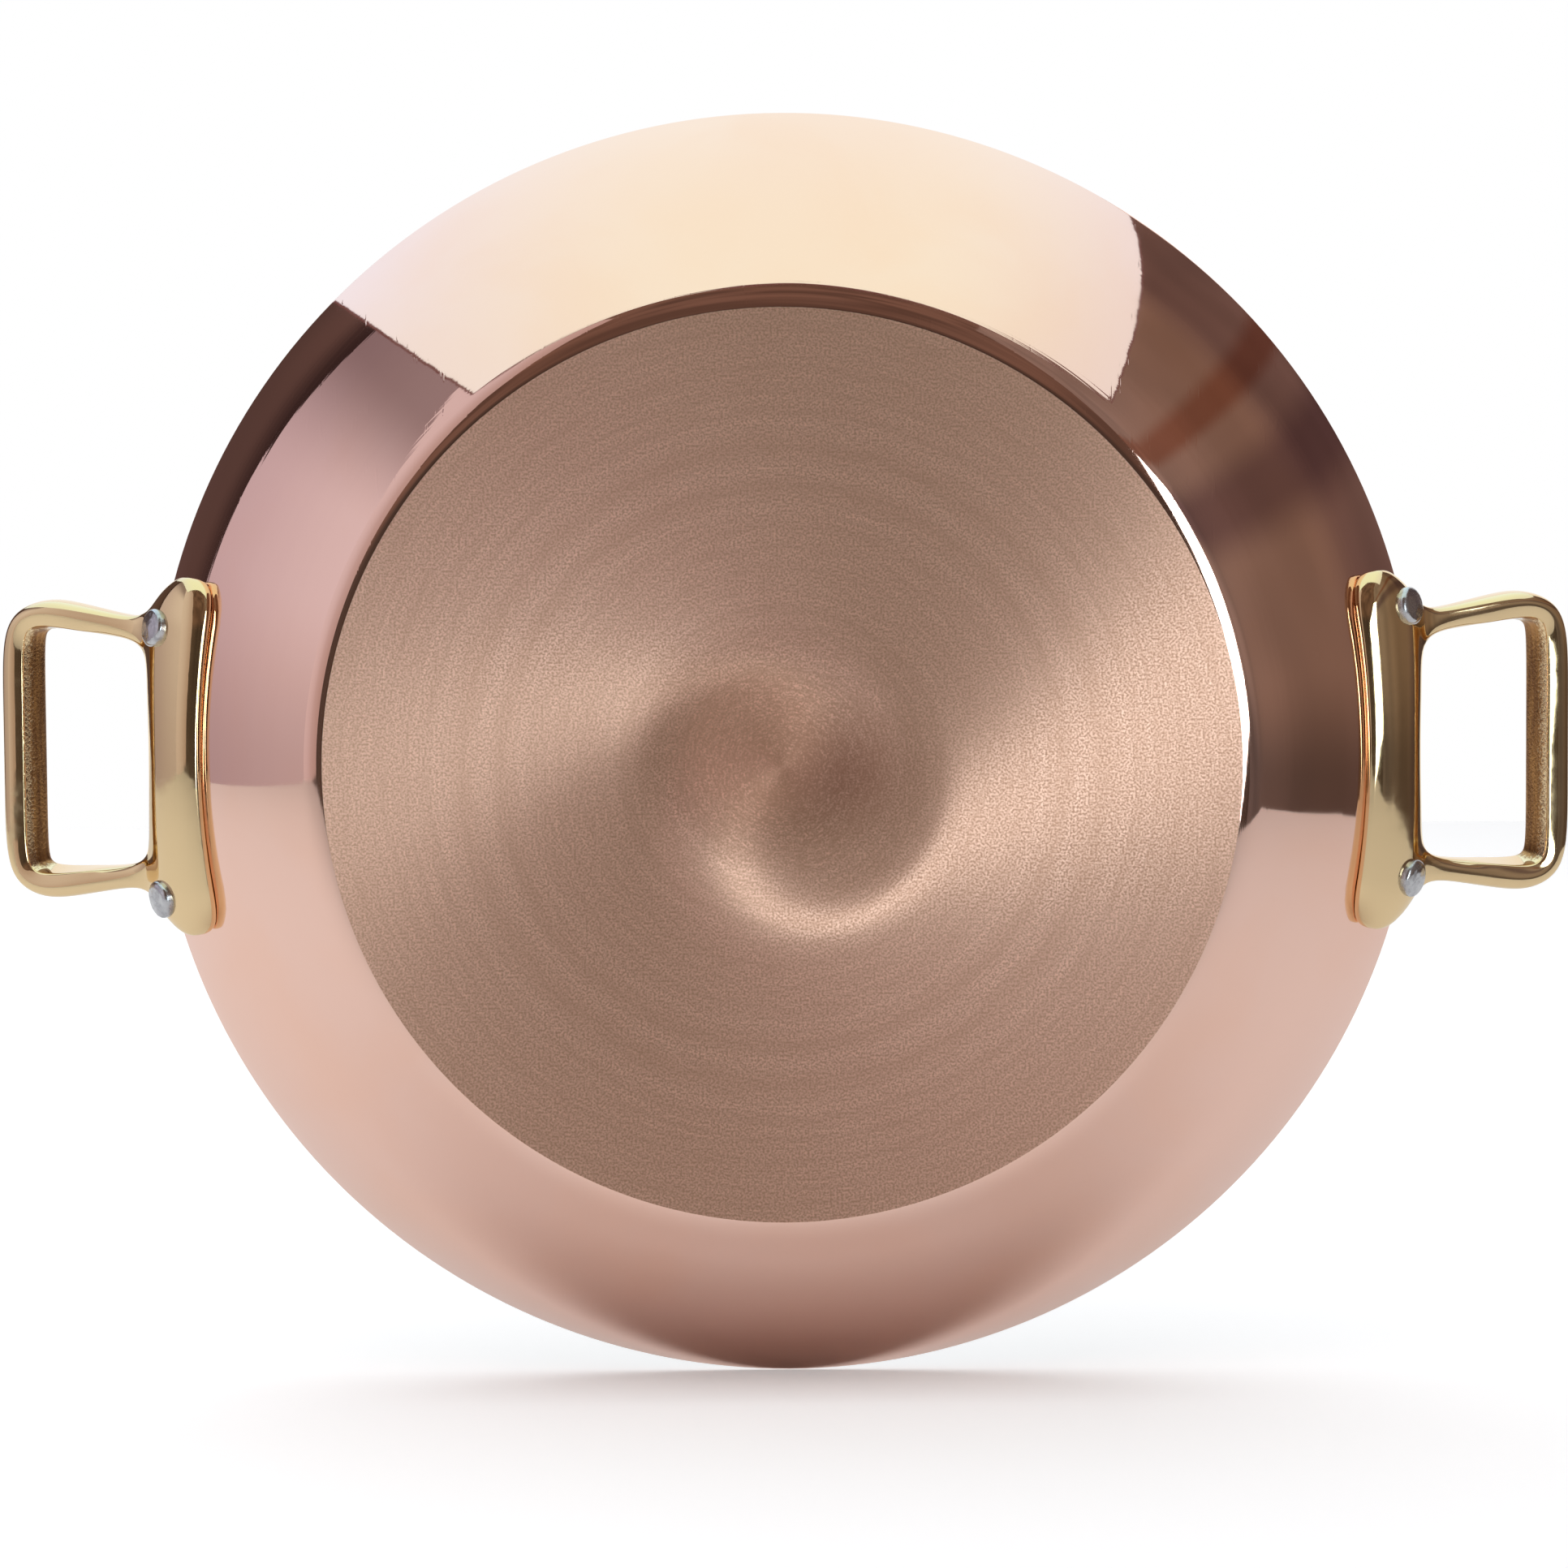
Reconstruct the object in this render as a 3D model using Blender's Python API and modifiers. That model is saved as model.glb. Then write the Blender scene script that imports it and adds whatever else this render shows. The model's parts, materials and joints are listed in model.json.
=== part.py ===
"""Round copper pan with two riveted brass loop handles, standing on its flat base.

The origin is under the pan's centre, on the surface that it stands on. +Z is up, and the
handles lie along X. Each piece is its own object: the copper shell, the steel lining that
it is bonded to, two cast handles and four rivets.
"""

import math

import bmesh
import bpy
from mathutils import Matrix, Vector

# Pan body, metres and degrees
RIM_RADIUS = 0.120
RIM_HEIGHT = 0.036
BASE_FLAT_RADIUS = 0.085
CORNER_RADIUS = 0.008
WALL_START_SLOPE = math.radians(32.0)
COPPER_THICKNESS = 0.0013
LINING_THICKNESS = 0.0004
RIM_EDGE_CHAMFER = 0.0003

# Rivets, two to a handle, with a button head outside and a low dome inside
RIVET_SPACING = 0.0492
RIVET_SHIFT = 0.0013
RIVET_ABOVE_PLATE_CENTRE = 0.0044
RIVET_HEAD_DIAMETER = 0.0072
RIVET_HEAD_HEIGHT = 0.0019
RIVET_SHOULDER_RADIUS = 0.0009
RIVET_SHANK_DIAMETER = 0.0050
RIVET_INNER_HEAD_DIAMETER = 0.0095
RIVET_INNER_HEAD_HEIGHT = 0.0013
RIVET_INNER_EDGE_HEIGHT = 0.0004

# Handle plate, which lies on the outside of the wall
PLATE_BELOW_RIM = 0.0139
PLATE_WIDTH = 0.0135
PLATE_THICKNESS = 0.0048
PLATE_PAST_RIVET = 0.0086
PLATE_TIP_CLIMB = 0.0024
PLATE_LOBE_FLARE = 0.0030
PLATE_TIP_DROP = 0.0078
PLATE_TIP_LIFT = 0.0012

# Handle loop, which the hand holds
LOOP_REACH = 0.0278
LOOP_RISE = math.radians(21.0)
LOOP_WIDTH = 0.0575
LOOP_CORNER_RADIUS = 0.0052
BAR_WIDTH = 0.0061
BAR_DEPTH = 0.0084
ARM_ROOT_INSET = 0.0012
ARM_ROOT_WIDTH = 0.0050
ARM_ROOT_FILLET = 0.0024
ARM_NECK_WIDTH = 0.0038

# Clearances between touching pieces
BOND_GAP = 0.0003
SEAT_GAP = 0.0003
HOLE_CLEARANCE = 0.0003

# Fineness of the surfaces
TURN_STEPS = 72
RIVET_STEPS = 24
CORNER_ARC_STEPS = 4
WALL_ARC_STEPS = 7
SHOULDER_ARC_STEPS = 3
HANDLE_SUBDIVISIONS = 1

# Cage of the handle: where its rings stand, as shares of the stretch that they are on
RING_POINTS = 8
LOBE_COLUMN_SHARE = 0.55
MIDDLE_COLUMN_SHARES = (0.62, 0.22)
ARM_RING_SHARES = (0.16, 0.45, 0.75)
BAR_RING_SHARE = 0.40
BACK_EDGE_CREASE_SHARE = 0.7

# Section of the plate, as shares of its width up from the lower edge and of its thickness out
PLATE_SECTION_SHARES = (
    (0.00, 0.00),
    (0.50, 0.00),
    (1.00, 0.00),
    (0.98, 0.50),
    (0.90, 1.00),
    (0.45, 1.00),
    (0.04, 0.85),
    (0.00, 0.42),
)

# Largest chamfer on a ply's rim, as a share of the ply's thickness
CHAMFER_LIMIT_SHARE = 0.4

# Sizes that follow from the ones above
LINING_OFFSET = COPPER_THICKNESS + BOND_GAP
WALL_THICKNESS = LINING_OFFSET + LINING_THICKNESS
WALL_START_RADIUS = BASE_FLAT_RADIUS + CORNER_RADIUS * math.sin(WALL_START_SLOPE)
WALL_START_HEIGHT = CORNER_RADIUS * (1.0 - math.cos(WALL_START_SLOPE))
CHORD_RUN = RIM_RADIUS - WALL_START_RADIUS
CHORD_CLIMB = RIM_HEIGHT - WALL_START_HEIGHT
CHORD_SLOPE = math.atan2(CHORD_CLIMB, CHORD_RUN)
WALL_END_SLOPE = 2.0 * CHORD_SLOPE - WALL_START_SLOPE
WALL_ARC_RADIUS = math.hypot(CHORD_RUN, CHORD_CLIMB) / (2.0 * math.sin(CHORD_SLOPE - WALL_START_SLOPE))
PLATE_LENGTH = RIVET_SPACING + 2.0 * PLATE_PAST_RIVET
ARM_ROOT_SPACING = RIVET_SPACING - 2.0 * ARM_ROOT_INSET


def empty_scene():
    """Remove the objects that a new file starts with."""
    for old in list(bpy.data.objects):
        bpy.data.objects.remove(old, do_unlink=True)


def make_collection(name):
    """Add a collection to the scene."""
    collection = bpy.data.collections.new(name)
    bpy.context.scene.collection.children.link(collection)
    return collection


def make_material(name, colour, metallic, roughness):
    """Add a Principled material of one colour."""
    material = bpy.data.materials.new(name)
    material.use_nodes = True
    shader = material.node_tree.nodes["Principled BSDF"]
    shader.inputs["Base Color"].default_value = (*colour, 1.0)
    shader.inputs["Metallic"].default_value = metallic
    shader.inputs["Roughness"].default_value = roughness
    material.diffuse_color = (*colour, 1.0)
    return material


def add_object(name, mesh, collection, material=None):
    """Put a mesh in the scene as a named object."""
    piece = bpy.data.objects.new(name, mesh)
    collection.objects.link(piece)
    if material is not None:
        mesh.materials.append(material)
    return piece


def wall_section_point(slope, depth):
    """Radius and height on the wall's arc at a slope, at a depth under its outer face."""
    radius = WALL_START_RADIUS + WALL_ARC_RADIUS * (math.sin(slope) - math.sin(WALL_START_SLOPE))
    height = WALL_START_HEIGHT + WALL_ARC_RADIUS * (math.cos(WALL_START_SLOPE) - math.cos(slope))
    return radius - depth * math.sin(slope), height + depth * math.cos(slope)


def corner_section_point(slope, depth):
    """Radius and height on the corner between base and wall."""
    reach = CORNER_RADIUS - depth
    return BASE_FLAT_RADIUS + reach * math.sin(slope), CORNER_RADIUS - reach * math.cos(slope)


def wall_surface(up_from_plate_centre, across, outward):
    """Point beside the wall, and the wall's outward normal there, on the +X side.

    The point lies a distance up the wall from the plate's centre line, at a Y value,
    and stands outward from the outer face.
    """
    slope = WALL_END_SLOPE - (PLATE_BELOW_RIM - up_from_plate_centre) / WALL_ARC_RADIUS
    radius, height = wall_section_point(slope, 0.0)
    turn = math.asin(across / radius)
    normal = Vector((math.sin(slope) * math.cos(turn), math.sin(slope) * math.sin(turn), -math.cos(slope)))
    foot = Vector((radius * math.cos(turn), across, height))
    return foot + outward * normal, normal


def turned_piece(name, section, steps, collection, material):
    """Turn a section about Z. It runs from the axis, over the top and down the outside."""
    mesh = bpy.data.meshes.new(name)
    edges = [(index, index + 1) for index in range(len(section) - 1)]
    mesh.from_pydata([(radius, 0.0, height) for radius, height in section], edges, [])
    piece = add_object(name, mesh, collection, material)
    screw = piece.modifiers.new("Turn", "SCREW")
    screw.axis = "Z"
    screw.steps = steps
    screw.render_steps = steps
    screw.use_merge_vertices = True
    screw.merge_threshold = 0.00001
    screw.use_smooth_shade = True
    return piece


def ply_section(outer_depth, thickness):
    """Section of one ply of the pan, from its inner face over the rim to its outer face."""
    inner_depth = outer_depth + thickness
    chamfer = min(RIM_EDGE_CHAMFER, CHAMFER_LIMIT_SHARE * thickness)
    corner_slopes = [WALL_START_SLOPE * step / CORNER_ARC_STEPS for step in range(CORNER_ARC_STEPS)]
    turn = WALL_END_SLOPE - WALL_START_SLOPE
    wall_slopes = [WALL_START_SLOPE + turn * step / WALL_ARC_STEPS for step in range(WALL_ARC_STEPS)]
    wall_slopes.append(WALL_END_SLOPE - chamfer / WALL_ARC_RADIUS)

    def face(depth):
        points = [(0.0, depth)]
        points += [corner_section_point(slope, depth) for slope in corner_slopes]
        points += [wall_section_point(slope, depth) for slope in wall_slopes]
        return points

    rim = [wall_section_point(WALL_END_SLOPE, inner_depth - chamfer)]
    rim.append(wall_section_point(WALL_END_SLOPE, outer_depth + chamfer))
    return face(inner_depth) + rim + face(outer_depth)[::-1]


def rivet_places():
    """Up-the-wall and Y positions of the two rivets of the +X handle."""
    up = RIVET_ABOVE_PLATE_CENTRE
    return [(up, -0.5 * RIVET_SPACING - RIVET_SHIFT), (up, 0.5 * RIVET_SPACING - RIVET_SHIFT)]


def rivet_matrix(up, across, half_turn):
    """Frame of a rivet: origin on the wall's outer face, +Z pointing out of the pan."""
    foot, normal = wall_surface(up, across, 0.0)
    frame = Matrix.Translation(foot) @ normal.to_track_quat("Z", "Y").to_matrix().to_4x4()
    return Matrix.Rotation(half_turn, 4, "Z") @ frame


def rivet_section():
    """Half section of a rivet, from the top of its button head to the tip of its inner head."""
    head_seat = SEAT_GAP + PLATE_THICKNESS + SEAT_GAP
    head_top = head_seat + RIVET_HEAD_HEIGHT
    head_radius = 0.5 * RIVET_HEAD_DIAMETER
    shank_radius = 0.5 * RIVET_SHANK_DIAMETER
    inner_radius = 0.5 * RIVET_INNER_HEAD_DIAMETER
    wall_hollow = inner_radius ** 2 / (2.0 * WALL_ARC_RADIUS)
    inner_seat = -(WALL_THICKNESS + SEAT_GAP + wall_hollow)
    dome_foot = inner_seat - RIVET_INNER_EDGE_HEIGHT
    dome_height = RIVET_INNER_HEAD_HEIGHT - RIVET_INNER_EDGE_HEIGHT
    angles = [0.5 * math.pi * step / SHOULDER_ARC_STEPS for step in range(SHOULDER_ARC_STEPS + 1)]
    section = [(0.0, head_top)]
    for angle in angles:
        radius = head_radius - RIVET_SHOULDER_RADIUS * (1.0 - math.sin(angle))
        section.append((radius, head_top - RIVET_SHOULDER_RADIUS * (1.0 - math.cos(angle))))
    section += [(head_radius, head_seat), (shank_radius, head_seat)]
    section += [(shank_radius, inner_seat), (inner_radius, inner_seat)]
    for angle in angles[:-1]:
        section.append((inner_radius * math.cos(angle), dome_foot - dome_height * math.sin(angle)))
    section.append((0.0, dome_foot - dome_height))
    return section


def smooth_step(share):
    """Ease from 0 to 1 as a share goes from 0 to 1."""
    held = min(1.0, max(0.0, share))
    return held * held * (3.0 - 2.0 * held)


def plate_outline(across):
    """Lower and upper edge of the plate, measured up the wall from its centre line."""
    half_length = 0.5 * PLATE_LENGTH
    climb = PLATE_TIP_CLIMB * (across / half_length) ** 2
    lobe_start = 0.5 * (ARM_ROOT_SPACING + ARM_ROOT_WIDTH)
    lobe = max(0.0, (abs(across) - lobe_start) / (half_length - lobe_start))
    flare = PLATE_LOBE_FLARE * smooth_step(abs(across) / lobe_start)
    low = climb - 0.5 * PLATE_WIDTH + PLATE_TIP_LIFT * lobe ** 2
    top = climb + 0.5 * PLATE_WIDTH + flare - PLATE_TIP_DROP * lobe ** 1.5
    return low, top


def plate_ring(across):
    """Cage points round the plate at one Y: back low, middle and top, then the front down."""
    low, top = plate_outline(across)
    ring = []
    for width_share, thickness_share in PLATE_SECTION_SHARES:
        up = low + width_share * (top - low)
        ring.append(wall_surface(up, across, SEAT_GAP + thickness_share * PLATE_THICKNESS)[0])
    return ring


def loop_ring(centre, outward, width, depth):
    """Cage points round the loop's bar: top inner, middle and outer, then down and back."""
    upright = Vector((-math.sin(LOOP_RISE), 0.0, math.cos(LOOP_RISE)))
    steps = ((-1, 1), (0, 1), (1, 1), (1, 0), (1, -1), (0, -1), (-1, -1), (-1, 0))
    return [centre + 0.5 * width * side * outward + 0.5 * depth * rise * upright for side, rise in steps]


def loop_rings():
    """Cage rings of the loop from the +Y arm, round the grip bar, to the -Y arm."""
    root = plate_ring(0.5 * ARM_ROOT_SPACING)[3]
    along = Vector((math.cos(LOOP_RISE), 0.0, math.sin(LOOP_RISE)))
    sideways = Vector((0.0, 1.0, 0.0))
    start = Vector((root.x, 0.0, root.z))
    root_offset = 0.5 * ARM_ROOT_SPACING
    bar_offset = 0.5 * (LOOP_WIDTH - BAR_WIDTH)
    straight = LOOP_REACH - LOOP_CORNER_RADIUS
    half = []
    for share in ARM_RING_SHARES:
        blend = smooth_step(share)
        offset = root_offset + (bar_offset - root_offset) * blend
        width = ARM_NECK_WIDTH + (BAR_WIDTH - ARM_NECK_WIDTH) * share
        depth = PLATE_THICKNESS + (BAR_DEPTH - PLATE_THICKNESS) * blend
        half.append((start + straight * share * along + offset * sideways, sideways, width, depth))
    corner = start + straight * along + (bar_offset - LOOP_CORNER_RADIUS) * sideways
    for angle in (0.0, 0.25 * math.pi, 0.5 * math.pi):
        outward = math.cos(angle) * sideways + math.sin(angle) * along
        half.append((corner + LOOP_CORNER_RADIUS * outward, outward, BAR_WIDTH, BAR_DEPTH))
    bar = start + LOOP_REACH * along + BAR_RING_SHARE * (bar_offset - LOOP_CORNER_RADIUS) * sideways
    half.append((bar, along, BAR_WIDTH, BAR_DEPTH))
    other_side = Vector((1.0, -1.0, 1.0))
    mirrored = []
    for centre, outward, width, depth in reversed(half):
        mirrored.append((centre * other_side, outward * other_side, width, depth))
    return [loop_ring(*place) for place in half + mirrored]


def handle_columns():
    """Y positions of the plate's cage rings. An arm stands on the third to fifth from each end."""
    half_length = 0.5 * PLATE_LENGTH
    root = 0.5 * ARM_ROOT_SPACING
    half_root = 0.5 * ARM_ROOT_WIDTH
    free_end = half_length - root - half_root
    inner = root - half_root - ARM_ROOT_FILLET
    half = [half_length, root + half_root + LOBE_COLUMN_SHARE * free_end, root + half_root, root, inner]
    half += [share * inner for share in MIDDLE_COLUMN_SHARES]
    return [-value for value in half] + half[::-1]


def join_rings(cage, near, far, skipped_sides=()):
    """Face the cage between two rings of points."""
    for side in range(RING_POINTS):
        if side not in skipped_sides:
            after = (side + 1) % RING_POINTS
            cage.faces.new((near[side], near[after], far[after], far[side]))


def arm_root_ring(inner, middle, outer):
    """Points of three plate rings that bound the patch where an arm grows out of the plate."""
    return [inner[2], middle[2], outer[2], outer[3], outer[4], middle[4], inner[4], inner[3]]


def handle_mesh(name):
    """Soft cage of a cast handle: the plate, with both ends of the loop growing out of its top."""
    cage = bmesh.new()
    plate = [[cage.verts.new(point) for point in plate_ring(across)] for across in handle_columns()]
    last = len(plate) - 1
    arm_columns = (2, 3, last - 4, last - 3)
    arm_sides = (2, 3)
    for column in range(last):
        skipped_sides = arm_sides if column in arm_columns else ()
        join_rings(cage, plate[column], plate[column + 1], skipped_sides)
    for ring in (plate[0], plate[last]):
        middle = cage.verts.new(0.25 * (ring[1].co + ring[3].co + ring[5].co + ring[7].co))
        for corner in range(0, RING_POINTS, 2):
            cage.faces.new((ring[corner], ring[corner + 1], middle, ring[corner - 1]))

    rings = [arm_root_ring(plate[last - 4], plate[last - 3], plate[last - 2])]
    rings += [[cage.verts.new(point) for point in ring] for ring in loop_rings()]
    rings.append(arm_root_ring(plate[4], plate[3], plate[2]))
    for column in (3, last - 3):
        cage.verts.remove(plate[column][3])
    for near, far in zip(rings, rings[1:]):
        join_rings(cage, near, far)

    crease = cage.edges.layers.float.new("crease_edge")
    for corner in (0, 2):
        for column in range(last):
            if corner == 0 or column not in arm_columns:
                edge = cage.edges.get((plate[column][corner], plate[column + 1][corner]))
                edge[crease] = BACK_EDGE_CREASE_SHARE
    bmesh.ops.recalc_face_normals(cage, faces=cage.faces)
    mesh = bpy.data.meshes.new(name)
    cage.to_mesh(mesh)
    cage.free()
    mesh.shade_smooth()
    return mesh


def make_hole_cutter(name, matrix, collection):
    """Add a drill that passes through the plate, the shell and the lining."""
    reach = PLATE_THICKNESS + WALL_THICKNESS + RIVET_HEAD_HEIGHT
    radius = 0.5 * RIVET_SHANK_DIAMETER + HOLE_CLEARANCE
    tool = bmesh.new()
    bmesh.ops.create_cone(
        tool,
        cap_ends=True,
        segments=RIVET_STEPS,
        radius1=radius,
        radius2=radius,
        depth=2.0 * reach,
    )
    mesh = bpy.data.meshes.new(name)
    tool.to_mesh(mesh)
    tool.free()
    cutter = add_object(name, mesh, collection)
    cutter.matrix_world = matrix
    cutter.hide_render = True
    cutter.display_type = "WIRE"


def cut_holes(piece, cutters):
    """Drill the rivet holes through a piece."""
    drill = piece.modifiers.new("Rivet holes", "BOOLEAN")
    drill.operation = "DIFFERENCE"
    drill.operand_type = "COLLECTION"
    drill.collection = cutters
    drill.solver = "EXACT"


def build():
    """Build every piece of the pan."""
    empty_scene()
    pieces = make_collection("copper_pan")
    cutters = make_collection("cutters")
    copper = make_material("copper", (0.86, 0.53, 0.42), 1.0, 0.12)
    steel = make_material("brushed_steel", (0.63, 0.62, 0.60), 1.0, 0.30)
    brass = make_material("polished_brass", (0.83, 0.65, 0.34), 1.0, 0.12)
    alloy = make_material("rivet_alloy", (0.60, 0.60, 0.62), 1.0, 0.35)

    sides = (("right", 0.0), ("left", math.pi))
    for side, half_turn in sides:
        for up, across in rivet_places():
            towards_rear = (across > 0.0) == (side == "right")
            place = f"{side}_{'rear' if towards_rear else 'front'}"
            matrix = rivet_matrix(up, across, half_turn)
            make_hole_cutter(f"{place}_hole", matrix, cutters)
            rivet = turned_piece(f"{place}_rivet", rivet_section(), RIVET_STEPS, pieces, alloy)
            rivet.matrix_world = matrix

    shell = turned_piece("copper_shell", ply_section(0.0, COPPER_THICKNESS), TURN_STEPS, pieces, copper)
    cut_holes(shell, cutters)
    lining_section = ply_section(LINING_OFFSET, LINING_THICKNESS)
    lining = turned_piece("steel_lining", lining_section, TURN_STEPS, pieces, steel)
    cut_holes(lining, cutters)

    casting = handle_mesh("handle_casting")
    casting.materials.append(brass)
    for side, half_turn in sides:
        handle = add_object(f"{side}_handle", casting, pieces)
        handle.rotation_euler = (0.0, 0.0, half_turn)
        soften = handle.modifiers.new("Cast form", "SUBSURF")
        soften.levels = HANDLE_SUBDIVISIONS
        soften.render_levels = HANDLE_SUBDIVISIONS
        cut_holes(handle, cutters)


build()
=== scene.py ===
"""Looks of the round copper pan: fine surfaces, metals, studio and camera.

Run it as a script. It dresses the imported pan, which lies flat with its base on z = 0, and
views it from below, as a pan that stands on its rim on a table shows its base.
"""

import json
import math

import bmesh
import bpy
from bpy.props import FloatProperty, FloatVectorProperty, PointerProperty
from mathutils import Matrix, Vector

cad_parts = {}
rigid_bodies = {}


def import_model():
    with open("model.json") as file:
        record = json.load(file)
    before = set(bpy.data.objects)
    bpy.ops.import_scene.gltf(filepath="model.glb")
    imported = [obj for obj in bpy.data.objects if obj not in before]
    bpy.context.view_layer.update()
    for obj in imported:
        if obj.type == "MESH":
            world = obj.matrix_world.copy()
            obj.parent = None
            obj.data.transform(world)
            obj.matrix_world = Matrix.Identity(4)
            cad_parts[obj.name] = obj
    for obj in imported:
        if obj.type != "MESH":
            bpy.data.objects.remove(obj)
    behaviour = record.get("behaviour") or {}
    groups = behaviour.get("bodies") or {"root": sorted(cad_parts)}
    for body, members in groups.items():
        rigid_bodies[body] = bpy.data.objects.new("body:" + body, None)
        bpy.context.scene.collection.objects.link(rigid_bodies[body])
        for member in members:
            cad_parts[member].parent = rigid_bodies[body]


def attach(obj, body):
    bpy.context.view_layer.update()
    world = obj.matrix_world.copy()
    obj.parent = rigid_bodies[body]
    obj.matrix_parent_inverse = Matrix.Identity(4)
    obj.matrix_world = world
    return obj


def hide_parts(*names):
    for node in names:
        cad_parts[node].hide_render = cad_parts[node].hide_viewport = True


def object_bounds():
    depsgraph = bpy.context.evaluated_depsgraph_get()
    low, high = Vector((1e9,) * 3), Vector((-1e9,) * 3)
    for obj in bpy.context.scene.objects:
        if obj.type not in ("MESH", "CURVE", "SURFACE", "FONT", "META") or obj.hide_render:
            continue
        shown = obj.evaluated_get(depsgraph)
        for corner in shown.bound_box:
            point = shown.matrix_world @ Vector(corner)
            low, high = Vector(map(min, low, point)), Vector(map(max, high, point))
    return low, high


bl_info = {
    "name": "Copper pan finish",
    "version": (1, 0, 0),
    "blender": (4, 5, 0),
    "location": "3D View > Sidebar > Copper pan",
    "description": "Fine surfaces, metals, studio and camera for a two-handled copper pan",
    "category": "Object",
}

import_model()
cad_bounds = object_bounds()

SIDES = (("right", 0.0), ("left", math.pi))
IMAGE_SIDE = 1932
SENSOR_WIDTH = 36.0
CAMERA_CLIP = (0.05, 50.0)


def metres(name, description, default):
    """A length that a user can change."""
    return FloatProperty(name=name, description=description, default=default, precision=5, unit="LENGTH")


def degrees(name, description, default):
    """An angle that a user can change, given in degrees."""
    return FloatProperty(
        name=name, description=description, default=math.radians(default), subtype="ANGLE"
    )


def pixels(name, description, default):
    """A measure in the photograph's pixels that a user can change."""
    return FloatProperty(name=name, description=description, default=default)


def tint(name, description, default):
    """A colour that a user can change."""
    return FloatVectorProperty(
        name=name, description=description, default=default, size=3, subtype="COLOR"
    )


class PanBodySizes(bpy.types.PropertyGroup):
    """Sizes of the pan's wall, base and plies."""

    rim_radius: metres("Rim radius", "Radius of the rim's outer edge", 0.120)
    rim_height: metres("Rim height", "Height of the rim's outer edge over the base", 0.036)
    base_radius: metres("Base radius", "Radius of the flat brushed base", 0.085)
    corner_radius: metres("Corner radius", "Radius of the bend between base and wall", 0.008)
    wall_start_slope: degrees("Wall start slope", "Slope of the wall where it leaves the corner", 32.0)
    copper_thickness: metres("Copper thickness", "Thickness of the copper ply, up to the steel", 0.00158)
    wall_thickness: metres("Wall thickness", "Thickness of copper and steel together", 0.0020)
    rim_round: metres("Rim rounding", "Radius of the rounded outer edge of the rim", 0.0003)


class RivetSizes(bpy.types.PropertyGroup):
    """Sizes and places of the rivets."""

    spacing: metres("Spacing", "Distance between the two rivets of a handle", 0.0492)
    shift: metres("Shift", "Distance of the pair's middle from the handle's middle", 0.0013)
    above_plate_centre: metres(
        "Above plate centre", "Distance up the wall from the plate's centre line", 0.0044
    )
    head_diameter: metres("Head diameter", "Diameter of the button head", 0.0072)
    head_height: metres("Head height", "Height of the button head over the plate", 0.0019)
    shoulder_radius: metres("Shoulder radius", "Radius of the button head's rounded edge", 0.0013)
    shank_diameter: metres("Shank diameter", "Diameter of the rivet in its hole", 0.0050)
    inner_head_diameter: metres("Inner head diameter", "Diameter of the low dome inside the pan", 0.0095)
    inner_head_height: metres("Inner head height", "Height of the low dome inside the pan", 0.0013)
    inner_edge_height: metres("Inner edge height", "Height of the dome's upright edge", 0.0004)


class HandleSizes(bpy.types.PropertyGroup):
    """Sizes of the cast handle, its plate and its loop."""

    plate_below_rim: metres(
        "Plate below rim", "Distance down the wall from the rim to the plate's centre line", 0.0139
    )
    plate_width: metres("Plate width", "Width of the plate up the wall, in its middle", 0.0135)
    plate_thickness: metres("Plate thickness", "Thickness of the plate", 0.0048)
    plate_past_rivet: metres("Plate past rivet", "Length of the plate beyond each rivet", 0.0086)
    tip_climb: metres("Tip climb", "How far the plate's ends lie further up the wall", 0.0024)
    lobe_flare: metres("Lobe flare", "How much wider the plate is at its rivets", 0.0030)
    tip_drop: metres("Tip drop", "How far the plate's upper edge comes down at its ends", 0.0078)
    tip_lift: metres("Tip lift", "How far the plate's lower edge comes up at its ends", 0.0012)
    loop_reach: metres("Loop reach", "Distance from the plate to the middle of the grip bar", 0.0278)
    loop_rise: degrees("Loop rise", "Angle of the loop over the horizontal", 21.0)
    loop_width: metres("Loop width", "Width of the loop over its outer sides", 0.0575)
    loop_corner_radius: metres(
        "Loop corner radius", "Bend of the bar's centre line at the loop's corners", 0.0052
    )
    bar_width: metres("Bar width", "Width of the grip bar, along the loop", 0.0061)
    bar_depth: metres("Bar depth", "Depth of the grip bar, square to the loop", 0.0084)
    arm_root_inset: metres(
        "Arm root inset", "Distance of an arm's root from its rivet, towards the middle", 0.0012
    )
    arm_root_width: metres("Arm root width", "Width of an arm where it leaves the plate", 0.0050)
    arm_root_fillet: metres("Arm root fillet", "Rounding between an arm and the plate's edge", 0.0024)
    arm_neck_width: metres("Arm neck width", "Width of an arm at its thinnest", 0.0038)


class MetalColours(bpy.types.PropertyGroup):
    """Colours of the metals."""

    polished_copper: tint("Polished copper", "Colour of the mirror-polished wall", (0.95, 0.64, 0.53))
    brushed_copper: tint("Brushed copper", "Colour of the brushed base", (1.0, 0.665, 0.515))
    brass: tint("Brass", "Colour of the polished handles", (0.86, 0.65, 0.375))
    steel: tint("Steel", "Colour of the cooking surface", (0.63, 0.62, 0.60))
    rivet: tint("Rivet", "Colour of the rivets", (0.60, 0.60, 0.61))


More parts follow.
